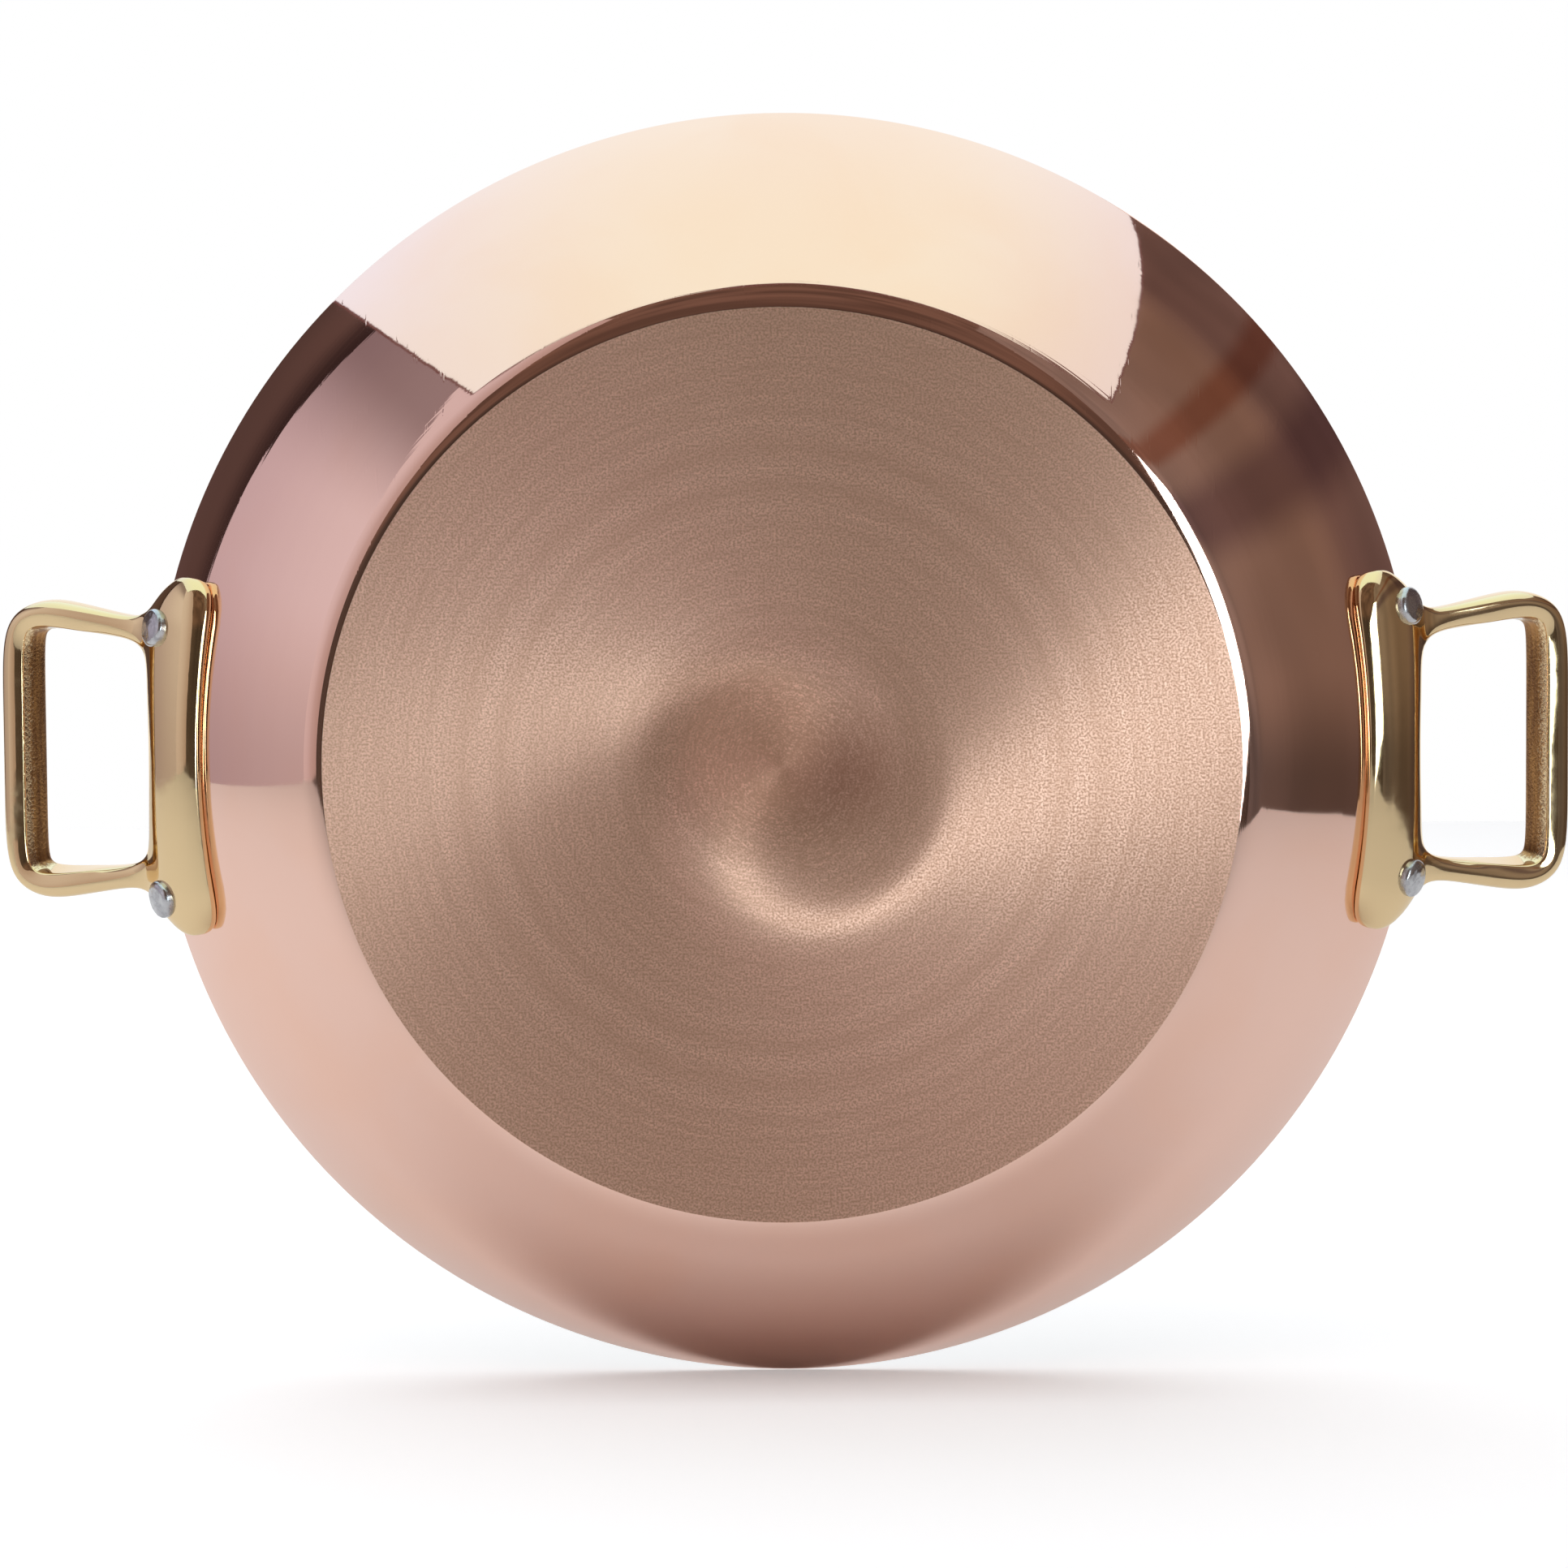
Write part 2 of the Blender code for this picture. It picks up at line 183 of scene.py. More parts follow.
class CameraSizes(bpy.types.PropertyGroup):
    """Place of the camera that the photograph was taken with."""

    distance: metres("Distance", "Distance of the camera from the middle of the rim", 1.5)
    pitch: degrees("Pitch", "How far the camera looks down on the upright pan", 6.35)
    yaw: degrees("Yaw", "How far the upright pan is turned from the camera", 0.85)
    roll: degrees("Roll", "How far the picture is turned in its plane", 0.43)
    rim_scale: pixels("Scale at the rim", "Picture pixels for a metre at the rim's distance", 6492.0)
    rim_column: pixels("Rim centre column", "Picture column of the rim's centre", 966.8)
    rim_row: pixels("Rim centre row", "Picture row of the rim's centre", 919.4)


class PanWall:
    """Section of the wall, and places beside it on the +X side."""

    def __init__(self, body, plate_below_rim):
        self.corner_radius = body.corner_radius
        self.base_radius = body.base_radius
        self.start_slope = body.wall_start_slope
        self.start_radius = body.base_radius + body.corner_radius * math.sin(self.start_slope)
        self.start_height = body.corner_radius * (1.0 - math.cos(self.start_slope))
        run = body.rim_radius - self.start_radius
        climb = body.rim_height - self.start_height
        chord_slope = math.atan2(climb, run)
        self.end_slope = 2.0 * chord_slope - self.start_slope
        self.arc_radius = math.hypot(run, climb) / (2.0 * math.sin(chord_slope - self.start_slope))
        self.plate_below_rim = plate_below_rim

    def corner_point(self, slope, depth):
        """Radius and height on the corner, at a depth under the outer face."""
        reach = self.corner_radius - depth
        return self.base_radius + reach * math.sin(slope), self.corner_radius - reach * math.cos(slope)

    def wall_point(self, slope, depth):
        """Radius and height on the wall, at a depth under the outer face."""
        radius = self.start_radius + self.arc_radius * (math.sin(slope) - math.sin(self.start_slope))
        height = self.start_height + self.arc_radius * (math.cos(self.start_slope) - math.cos(slope))
        return radius - depth * math.sin(slope), height + depth * math.cos(slope)

    def beside(self, up, across, outward):
        """Point outward from the wall, up from the plate's centre line, and the wall's normal."""
        slope = self.end_slope - (self.plate_below_rim - up) / self.arc_radius
        radius, height = self.wall_point(slope, 0.0)
        turn = math.asin(across / radius)
        level = math.sin(slope)
        normal = Vector((level * math.cos(turn), level * math.sin(turn), -math.cos(slope)))
        return Vector((radius * math.cos(turn), across, height)) + outward * normal, normal


def add_object(name, data):
    """Put a mesh or a camera in the scene as a named object."""
    piece = bpy.data.objects.new(name, data)
    bpy.context.scene.collection.objects.link(piece)
    return piece


def turned_piece(name, section, steps):
    """Turn a section about Z. It runs from the axis, over the top and down the outside."""
    mesh = bpy.data.meshes.new(name)
    edges = [(index, index + 1) for index in range(len(section) - 1)]
    mesh.from_pydata([(radius, 0.0, height) for radius, height in section], edges, [])
    piece = add_object(name, mesh)
    screw = piece.modifiers.new("Turn", "SCREW")
    screw.steps = steps
    screw.render_steps = steps
    screw.use_merge_vertices = True
    screw.merge_threshold = 0.000001
    screw.use_smooth_shade = True
    return piece


def settle(piece):
    """Apply a piece's modifiers to its mesh."""
    depsgraph = bpy.context.evaluated_depsgraph_get()
    mesh = bpy.data.meshes.new_from_object(piece.evaluated_get(depsgraph))
    mesh.name = piece.name
    piece.modifiers.clear()
    piece.data = mesh


FLAT_SHARES = (0.0, 0.25, 0.5, 0.75, 0.92)
CORNER_STEPS = 12
WALL_STEPS = 36
RIM_ROUND_STEPS = 4


def ply_section(wall, outer_depth, inner_depth, outer_round, inner_round):
    """Section of one ply of the pan, from its inner face over the rim to its outer face."""
    flat_radii = [wall.base_radius * share for share in FLAT_SHARES]
    corner_slopes = [wall.start_slope * step / CORNER_STEPS for step in range(CORNER_STEPS)]
    turn = wall.end_slope - wall.start_slope
    wall_slopes = [wall.start_slope + turn * step / WALL_STEPS for step in range(WALL_STEPS)]

    def face(depth, rounding):
        points = [(radius, depth) for radius in flat_radii]
        points += [wall.corner_point(slope, depth) for slope in corner_slopes]
        points += [wall.wall_point(slope, depth) for slope in wall_slopes]
        points.append(wall.wall_point(wall.end_slope - 2.0 * rounding / wall.arc_radius, depth))
        return points

    def rounded(depth, rounding, inward):
        points = []
        for step in range(RIM_ROUND_STEPS + 1):
            angle = 0.5 * math.pi * step / RIM_ROUND_STEPS
            below_edge = rounding * (1.0 - math.sin(angle)) / wall.arc_radius
            under_face = inward * rounding * (1.0 - math.cos(angle))
            points.append(wall.wall_point(wall.end_slope - below_edge, depth + under_face))
        return points

    section = face(inner_depth, inner_round) + rounded(inner_depth, inner_round, -1.0)
    return section + (face(outer_depth, outer_round) + rounded(outer_depth, outer_round, 1.0))[::-1]


def rivet_places(rivets):
    """Up-the-wall and Y positions of the two rivets of the +X handle."""
    up = rivets.above_plate_centre
    return [(up, -0.5 * rivets.spacing - rivets.shift), (up, 0.5 * rivets.spacing - rivets.shift)]


def rivet_matrix(wall, up, across, half_turn):
    """Frame of a rivet: origin on the wall's outer face, +Z pointing out of the pan."""
    foot, normal = wall.beside(up, across, 0.0)
    place = Matrix.Translation(foot) @ normal.to_track_quat("Z", "Y").to_matrix().to_4x4()
    return Matrix.Rotation(half_turn, 4, "Z") @ place


# Gap of the solids under a plate and under a rivet's heads, and of a rivet in its hole
SEAT_GAP = 0.0003
HOLE_CLEARANCE = 0.0003
HOLE_SIDES = 48

# The fine plate sits almost on the wall. The button head is lifted, because the plate is crowned,
# and its underside is sunk into the plate.
FINE_SEAT = 0.00004
HEAD_LIFT = 0.0005
HEAD_SINK = 0.0005

# Crown and lip of the button head, as shares of its rounded edge's radius
HEAD_CROWN_SHARE = 0.2
HEAD_LIP_SHARE = 0.1
HEAD_TOP_SHARES = (0.3, 0.6, 0.85)
SHOULDER_STEPS = 8


def rivet_section(rivets, body, handle, wall):
    """Half section of a rivet, from the top of its button head to the tip of its inner head."""
    head_seat = SEAT_GAP + handle.plate_thickness + HEAD_LIFT - HEAD_SINK
    head_top = 2.0 * SEAT_GAP + handle.plate_thickness + HEAD_LIFT + rivets.head_height
    head_radius = 0.5 * rivets.head_diameter
    shank_radius = 0.5 * rivets.shank_diameter
    inner_radius = 0.5 * rivets.inner_head_diameter
    wall_hollow = inner_radius ** 2 / (2.0 * wall.arc_radius)
    inner_seat = -(body.wall_thickness + SEAT_GAP + wall_hollow)
    dome_foot = inner_seat - rivets.inner_edge_height
    dome_height = rivets.inner_head_height - rivets.inner_edge_height
    crown = HEAD_CROWN_SHARE * rivets.shoulder_radius
    angles = [0.5 * math.pi * step / SHOULDER_STEPS for step in range(SHOULDER_STEPS + 1)]
    flat_radius = head_radius - rivets.shoulder_radius
    section = [(0.0, head_top)]
    section += [(share * flat_radius, head_top - crown * share ** 2) for share in HEAD_TOP_SHARES]
    shoulder = rivets.shoulder_radius
    for angle in angles:
        radius = flat_radius + shoulder * math.sin(angle)
        section.append((radius, head_top - crown - (shoulder - crown) * (1.0 - math.cos(angle))))
    lip = HEAD_LIP_SHARE * shoulder
    section += [(head_radius, head_seat + 2.0 * lip), (head_radius - 0.3 * lip, head_seat + 0.3 * lip)]
    section += [(head_radius - 2.0 * lip, head_seat), (shank_radius, head_seat)]
    section += [(shank_radius, inner_seat), (inner_radius, inner_seat)]
    for angle in angles[:-1]:
        section.append((inner_radius * math.cos(angle), dome_foot - dome_height * math.sin(angle)))
    section.append((0.0, dome_foot - dome_height))
    return section


def smooth_step(share):
    """Ease from 0 to 1 as a share goes from 0 to 1."""
    held = min(1.0, max(0.0, share))
    return held * held * (3.0 - 2.0 * held)


# Section of the plate: shares of its width from the lower edge, and of its thickness. It runs
# along the back and then round the crowned front.
PLATE_SECTION_SHARES = (
    (0.045, 0.00),
    (0.50, 0.00),
    (1.00, 0.00),
    (1.02, 0.55),
    (0.93, 0.98),
    (0.63, 1.12),
    (0.36, 1.00),
    (0.165, 0.74),
    (0.075, 0.50),
    (0.00, 0.22),
)

# How much the front ignores the wall's bend, how much thinner the plate's ends are, and how far
# its lower edge comes up at the very ends
PLATE_STRAIGHTENING = 0.25
PLATE_END_FALL = 0.5
PLATE_END_LIFT = 0.0022

# Sections of an arm and of the grip bar, in half widths and half depths
ARM_SECTION = ((-1, 1), (0, 1), (1, 1), (1, 0), (1, -1), (0, -1), (-1, -1), (-1, 0))
BAR_SECTION = (
    (-1.00, 1.00),
    (0.00, 1.00),
    (0.95, 0.95),
    (1.04, 0.10),
    (0.98, -0.92),
    (0.25, -1.08),
    (-0.60, -0.86),
    (-0.85, 0.10),
)

# Edges of the bar that stay sharp, and edges of the plate's back
LOOP_RIDGES = ((0, 0.35), (6, 0.60))
PLATE_BACK_SHARPNESS = 0.7

# Sides of the bar that keep the cast skin on the inside of the loop
CAST_SIDES = ((6, 0.5), (7, 1.0), (0, 1.0))
ARM_CAST_SHARE = 0.4

# Places of the cage's rings: along an arm, along half the grip bar, and along the plate's end and
# middle
ARM_SHARES = (0.16, 0.45, 0.75)
GRIP_SHARE = 0.40
END_COLUMN_SHARE = 0.55
MIDDLE_COLUMN_SHARES = (0.62, 0.22)


class HandleCage:
    """Soft cage of a cast handle on the +X side."""

    def __init__(self, sizes, rivets, wall):
        self.sizes = sizes
        self.wall = wall
        self.half_length = 0.5 * rivets.spacing + sizes.plate_past_rivet
        self.root = 0.5 * rivets.spacing - sizes.arm_root_inset

    def plate_outline(self, across):
        """Lower and upper edge of the plate up the wall from its centre line, and how thick it is."""
        sizes = self.sizes
        climb = sizes.tip_climb * (across / self.half_length) ** 2
        lobe_start = self.root + 0.5 * sizes.arm_root_width
        lobe = max(0.0, (abs(across) - lobe_start) / (self.half_length - lobe_start))
        flare = sizes.lobe_flare * smooth_step(abs(across) / lobe_start)
        low = climb - 0.5 * sizes.plate_width + sizes.tip_lift * lobe ** 2 + PLATE_END_LIFT * lobe ** 3
        top = climb + 0.5 * sizes.plate_width + flare - sizes.tip_drop * lobe ** 1.5
        return low, top, 1.0 - PLATE_END_FALL * lobe ** 2

    def plate_ring(self, across):
        """Cage points round the plate at one Y: back low, middle and top, then the front down."""
        low, top, fullness = self.plate_outline(across)
        level_at = 0.5 * self.root
        bend = (across ** 2 - level_at ** 2) / (2.0 * self.wall.base_radius)
        ring = []
        for width_share, thickness_share in PLATE_SECTION_SHARES:
            up = low + width_share * (top - low)
            outward = FINE_SEAT + fullness * thickness_share * (SEAT_GAP + self.sizes.plate_thickness)
            outward += PLATE_STRAIGHTENING * thickness_share * bend
            ring.append(self.wall.beside(up, across, outward)[0])
        return ring

    def loop_ring(self, centre, outward, width, depth, crown):
        """Cage points round the loop's bar: top inner, middle and outer, then down and back."""
        rise = self.sizes.loop_rise
        upright = Vector((-math.sin(rise), 0.0, math.cos(rise)))
        ring = []
        for plain, crowned in zip(ARM_SECTION, BAR_SECTION):
            side, up = Vector(plain).lerp(Vector(crowned), crown)
            ring.append(centre + 0.5 * width * side * outward + 0.5 * depth * up * upright)
        return ring

    def loop_rings(self):
        """Cage rings of the loop from the +Y arm, round the grip bar, to the -Y arm."""
        sizes = self.sizes
        root = self.plate_ring(self.root)[3]
        along = Vector((math.cos(sizes.loop_rise), 0.0, math.sin(sizes.loop_rise)))
        sideways = Vector((0.0, 1.0, 0.0))
        start = Vector((root.x, 0.0, root.z))
        bar_offset = 0.5 * (sizes.loop_width - sizes.bar_width)
        straight = sizes.loop_reach - sizes.loop_corner_radius
        half = []
        for share in ARM_SHARES:
            blend = smooth_step(share)
            offset = self.root + (bar_offset - self.root) * blend
            width = sizes.arm_neck_width + (sizes.bar_width - sizes.arm_neck_width) * share
            depth = sizes.plate_thickness + (sizes.bar_depth - sizes.plate_thickness) * blend
            centre = start + straight * share * along + offset * sideways
            half.append((centre, sideways, width, depth, share))
        half_grip = bar_offset - sizes.loop_corner_radius
        corner = start + straight * along + half_grip * sideways
        for angle in (0.0, 0.25 * math.pi, 0.5 * math.pi):
            outward = math.cos(angle) * sideways + math.sin(angle) * along
            centre = corner + sizes.loop_corner_radius * outward
            half.append((centre, outward, sizes.bar_width, sizes.bar_depth, 1.0))
        bar = start + sizes.loop_reach * along + GRIP_SHARE * half_grip * sideways
        half.append((bar, along, sizes.bar_width, sizes.bar_depth, 1.0))
        other_side = Vector((1.0, -1.0, 1.0))
        mirrored = []
        for centre, outward, *section in reversed(half):
            mirrored.append((centre * other_side, outward * other_side, *section))
        return [self.loop_ring(*place) for place in half + mirrored]

    def columns(self):
        """Y positions of the plate's cage rings."""
        half_root = 0.5 * self.sizes.arm_root_width
        free_end = self.half_length - self.root - half_root
        inner = self.root - half_root - self.sizes.arm_root_fillet
        outer = self.root + half_root
        half = [self.half_length, outer + END_COLUMN_SHARE * free_end, outer, self.root, inner]
        half += [share * inner for share in MIDDLE_COLUMN_SHARES]
        return [-value for value in half] + half[::-1]

    def mesh(self, name):
        """Mesh of the cage, with both ends of the loop growing out of the plate's top."""
        cage = bmesh.new()
        as_cast = cage.verts.layers.float.new("as_cast")
        plate = [[cage.verts.new(point) for point in self.plate_ring(across)] for across in self.columns()]
        last = len(plate) - 1
        arm_columns = (2, 3, last - 4, last - 3)
        for column in range(last):
            skipped_sides = (2, 3) if column in arm_columns else ()
            join_rings(cage, plate[column], plate[column + 1], skipped_sides)
        for ring in (plate[0], plate[last]):
            sides = [corner.co for corner in ring[1::2]]
            middle = cage.verts.new(sum(sides, Vector()) / len(sides))
            for corner in range(0, len(ring), 2):
                cage.faces.new((ring[corner], ring[corner + 1], middle, ring[corner - 1]))
        rings = [arm_root_ring(*plate[last - 4:last - 1])]
        loop = self.loop_rings()
        for number, points in enumerate(loop):
            ring = [cage.verts.new(point) for point in points]
            on_bar = min(number, len(loop) - 1 - number) > len(ARM_SHARES)
            for side, share in CAST_SIDES:
                ring[side][as_cast] = share if on_bar else ARM_CAST_SHARE * share
            rings.append(ring)
        rings.append(arm_root_ring(plate[4], plate[3], plate[2]))
        crease = cage.edges.layers.float.new("crease_edge")
        for column in (3, last - 3):
            cage.verts.remove(plate[column][3])
        for near, far in zip(rings, rings[1:]):
            join_rings(cage, near, far)
        for near, far in zip(rings[2:-3], rings[3:-2]):
            for corner, sharpness in LOOP_RIDGES:
                cage.edges.get((near[corner], far[corner]))[crease] = sharpness
        for corner in (0, 2):
            for column in range(last):
                if corner == 0 or column not in arm_columns:
                    edge = cage.edges.get((plate[column][corner], plate[column + 1][corner]))
                    edge[crease] = PLATE_BACK_SHARPNESS
        bmesh.ops.recalc_face_normals(cage, faces=cage.faces)
        mesh = bpy.data.meshes.new(name)
        cage.to_mesh(mesh)
        cage.free()
        mesh.shade_smooth()
        return mesh


def join_rings(cage, near, far, skipped_sides=()):
    """Face the cage between two rings of points."""
    for side in range(len(near)):
        if side not in skipped_sides:
            after = (side + 1) % len(near)
            cage.faces.new((near[side], near[after], far[after], far[side]))


def arm_root_ring(inner, middle, outer):
    """Points of three plate rings that bound the patch where an arm grows out of the plate."""
    return [inner[2], middle[2], outer[2], outer[3], outer[4], middle[4], inner[4], inner[3]]


def drill_rivet_holes(piece, settings):
    """Cut the four rivet holes through a piece."""
    drills = bpy.data.collections.new("drills")
    reach = settings.handle.plate_thickness + settings.body.wall_thickness + settings.rivets.head_height
    radius = 0.5 * settings.rivets.shank_diameter + HOLE_CLEARANCE
    for _, half_turn in SIDES:
        for up, across in rivet_places(settings.rivets):
            tool = bmesh.new()
            place = rivet_matrix(settings.wall, up, across, half_turn)
            bmesh.ops.create_cone(
                tool,
                cap_ends=True,
                segments=HOLE_SIDES,
                radius1=radius,
                radius2=radius,
                depth=2.0 * reach,
                matrix=place,
            )
            mesh = bpy.data.meshes.new("drill")
            tool.to_mesh(mesh)
            tool.free()
            drills.objects.link(bpy.data.objects.new("drill", mesh))
    cut = piece.modifiers.new("Rivet holes", "BOOLEAN")
    cut.operand_type = "COLLECTION"
    cut.collection = drills
    cut.solver = "EXACT"
    settle(piece)
    for drill in list(drills.objects):
        bpy.data.objects.remove(drill, do_unlink=True)
    bpy.data.collections.remove(drills)


class PanSettings:
    """The scene's settings, with the wall that follows from them."""

    def __init__(self, scene):
        self.body = scene.copper_pan_body
        self.rivets = scene.copper_pan_rivets
        self.handle = scene.copper_pan_handle
        self.colours = scene.copper_pan_colours
        self.camera = scene.copper_pan_camera
        self.wall = PanWall(self.body, self.handle.plate_below_rim)


def add_node(tree, kind, inputs=None, **settings):
    """Add a shader node of a kind, set its properties, and set or link its inputs."""
    node = tree.nodes.new("ShaderNode" + kind)
    for name, value in settings.items():
        setattr(node, name, value)
    for name, value in (inputs or {}).items():
        if isinstance(value, bpy.types.NodeSocket):
            tree.links.new(value, node.inputs[name])
        else:
            node.inputs[name].default_value = value
    return node


def link_all(tree, values, sockets):
    """Link each value to the socket of its name."""
    for name, value in values.items():
        tree.links.new(value, sockets[name])


def do_math(tree, operation, first, second=0.0):
    """Add a Math node and give its output."""
    return add_node(tree, "Math", {0: first, 1: second}, operation=operation).outputs[0]


def vector_math(tree, operation, first, second=(0.0, 0.0, 0.0)):
    """Add a Vector Math node and give its number for a length or a distance, or else its vector."""
    node = add_node(tree, "VectorMath", {0: first, 1: second}, operation=operation)
    return node.outputs["Value" if operation in ("LENGTH", "DISTANCE") else "Vector"]


def map_range(tree, value, to_low, to_high, band=(0.0, 1.0), **settings):
    """Add a Map Range node from a band of values to two new ends, and give its output."""
    ends = {"From Min": band[0], "From Max": band[1], "To Min": to_low, "To Max": to_high}
    return add_node(tree, "MapRange", {"Value": value, **ends}, **settings).outputs["Result"]


def mix_colours(tree, share, first, second, blend="MIX"):
    """Add a colour Mix node and give its output."""
    inputs = {0: share, 6: first, 7: second}
    return add_node(tree, "Mix", inputs, data_type="RGBA", blend_type=blend).outputs[2]


def object_place(tree):
    """Place on the piece, in metres."""
    return add_node(tree, "TexCoord").outputs["Object"]


def place_from_axis(tree):
    """Place on the piece, square out from the pan's axis."""
    return vector_math(tree, "MULTIPLY", object_place(tree), (1.0, 1.0, 0.0))


def add_noise(tree, place, scale, detail, distortion=0.0):
    """Add a Noise Texture node and give its value."""
    inputs = {"Vector": place, "Scale": scale, "Detail": detail, "Distortion": distortion}
    return add_node(tree, "TexNoise", inputs).outputs["Fac"]


def shaded(colour, shades=(1.0, 1.0, 1.0)):
    """A colour with each channel taken down by its own share."""
    return (*(channel * shade for channel, shade in zip(colour, shades)), 1.0)


# Noise values crowd round 0.5: the masks stretch one of these bands.
SOFT_BAND = (0.35, 0.65)
WIDE_BAND = (0.30, 0.70)
SAND_BAND = (0.38, 0.60)
SMUDGE_BAND = (0.42, 0.68)
SCRATCH_BAND = (0.62, 0.72)

RING_WAVES_PER_METRE = 260.0


def start_group(name, inputs, outputs):
    """Make a shader node group with float sockets, and give its tree and the sockets inside it."""
    tree = bpy.data.node_groups.new(name, "ShaderNodeTree")
    for socket_name, default in inputs.items():
        socket = tree.interface.new_socket(name=socket_name, in_out="INPUT", socket_type="NodeSocketFloat")
        socket.default_value = default
    for socket_name in outputs:
        tree.interface.new_socket(name=socket_name, in_out="OUTPUT", socket_type="NodeSocketFloat")
    return tree, tree.nodes.new("NodeGroupInput").outputs, tree.nodes.new("NodeGroupOutput").inputs


def use_group(tree, make_group, inputs=None):
    """Place a shared node group with a material's own values, and give its outputs."""
    return add_node(tree, "Group", inputs, node_tree=make_group()).outputs


def turned_grain_group():
    """Fine lines round the pan's axis, broken into short strokes, with a sandy grain between them."""
    name = "Turned grain"
    if name in bpy.data.node_groups:
        return bpy.data.node_groups[name]
    inputs = {"Rings per metre": 2500.0, "Strokes per turn": 8.0, "Grains per metre": 3500.0}
    tree, given, made = start_group(name, inputs, ("Lines", "Grain", "Rings"))
    flat = place_from_axis(tree)
    radius = vector_math(tree, "LENGTH", flat)
    heading = add_node(tree, "SeparateXYZ", {0: vector_math(tree, "NORMALIZE", flat)}).outputs
    strokes = given["Strokes per turn"]
    polar = {
        0: do_math(tree, "MULTIPLY", radius, given["Rings per metre"]),
        1: do_math(tree, "MULTIPLY", heading[0], strokes),
        2: do_math(tree, "MULTIPLY", heading[1], strokes),
    }
    lines = add_noise(tree, add_node(tree, "CombineXYZ", polar).outputs[0], 1.0, 3.0)
    grain = add_noise(tree, object_place(tree), given["Grains per metre"], 2.0)
    waves = {"W": do_math(tree, "MULTIPLY", radius, RING_WAVES_PER_METRE), "Scale": 1.0, "Detail": 5.0}
    rings = add_node(tree, "TexNoise", waves, noise_dimensions="1D").outputs["Fac"]
    link_all(tree, {"Lines": lines, "Grain": grain, "Rings": rings}, made)
    return tree


def handling_marks_group():
    """Faint smudges and hairline scratches of a polished metal that has been wiped and handled."""
    name = "Handling marks"
    if name in bpy.data.node_groups:
        return bpy.data.node_groups[name]
    inputs = {"Smudges per metre": 30.0, "Scratches per metre": 900.0}
    tree, given, made = start_group(name, inputs, ("Smudge", "Scratch"))
    place = object_place(tree)
    smears = add_noise(tree, place, given["Smudges per metre"], 5.0, 0.6)
    smudge = map_range(tree, smears, 0.0, 1.0, SMUDGE_BAND)
    lean = {"Vector": place, "Rotation": (0.4, 0.9, 0.7), "Scale": (1.0, 0.06, 0.3)}
    drawn = add_node(tree, "Mapping", lean).outputs[0]
    hairlines = add_noise(tree, drawn, given["Scratches per metre"], 2.0)
    scratch = map_range(tree, hairlines, 0.0, 1.0, SCRATCH_BAND)
    link_all(tree, {"Smudge": smudge, "Scratch": scratch}, made)
    return tree


def new_metal(name, roughness, anisotropy=0.0):
    """Start a metal material, and give it with its node tree and its shader."""
    material = bpy.data.materials.new(name)
    material.use_nodes = True
    shader = material.node_tree.nodes["Principled BSDF"]
    shader.inputs["Metallic"].default_value = 1.0
    shader.inputs["Roughness"].default_value = roughness
    shader.inputs["Anisotropic"].default_value = anisotropy
    return material, material.node_tree, shader


def add_bump(tree, shader, height, strength, distance, under=None):
    """Add a Bump node that feeds the shader's normal, over the bumps under it."""
    inputs = {"Height": height, "Strength": strength, "Distance": distance}
    if under is not None:
        inputs["Normal"] = under
    normal = add_node(tree, "Bump", inputs).outputs[0]
    tree.links.new(normal, shader.inputs["Normal"])
    return normal


def polished_copper_material(colours):
    """Mirror-polished spun copper, with faint spinning lines, smudges and hairlines."""
    material, tree, shader = new_metal("polished_copper", 0.035)
    grain = use_group(tree, turned_grain_group, {"Rings per metre": 1200.0, "Strokes per turn": 3.0})
    marks = use_group(tree, handling_marks_group)
    warmer = shaded(colours.polished_copper, (1.0, 0.97, 0.94))
    tone = mix_colours(tree, marks["Smudge"], shaded(colours.polished_copper), warmer)
    haze = map_range(tree, marks["Smudge"], 0.028, 0.055)
    link_all(tree, {"Base Color": tone, "Roughness": haze}, shader.inputs)
    spun = add_bump(tree, shader, grain["Rings"], 0.10, 0.0003)
    add_bump(tree, shader, marks["Scratch"], 0.02, 0.0001, spun)
    return material


# The brushing is turned by SWIRL_LAY all over, by up to SWIRL_SPREAD_ANGLE more towards
# SWIRL_CENTRE, where that fades over SWIRL_REACH, and by SWIRL_CORE_ANGLE more inside the core.
SWIRL_CENTRE = (0.0015, 0.0060, 0.0)
SWIRL_LAY = math.radians(8.0)
SWIRL_REACH = 0.0326
SWIRL_SPREAD_ANGLE = math.radians(103.0)
SWIRL_CORE_RADIUS = 0.027
SWIRL_CORE_ANGLE = math.radians(70.0)
SWIRL_CORE_POWER = 7.0

# Two small spots in the swirl: one is painted shade, darker in colour as a dished middle would look; the
# other is worn rougher.
PAINTED_SHADE_SPOT = (0.0130, 0.0015, 0.0)
PAINTED_SHADE_EDGE = (0.003, 0.015)
PAINTED_SHADE_COLOUR = (0.72, 0.66, 0.63, 1.0)
WORN_SPOT = (-0.0050, -0.0040, 0.0)
WORN_SPOT_EDGE = (0.010, 0.024)
WORN_SPOT_ROUGHNESS = 0.32


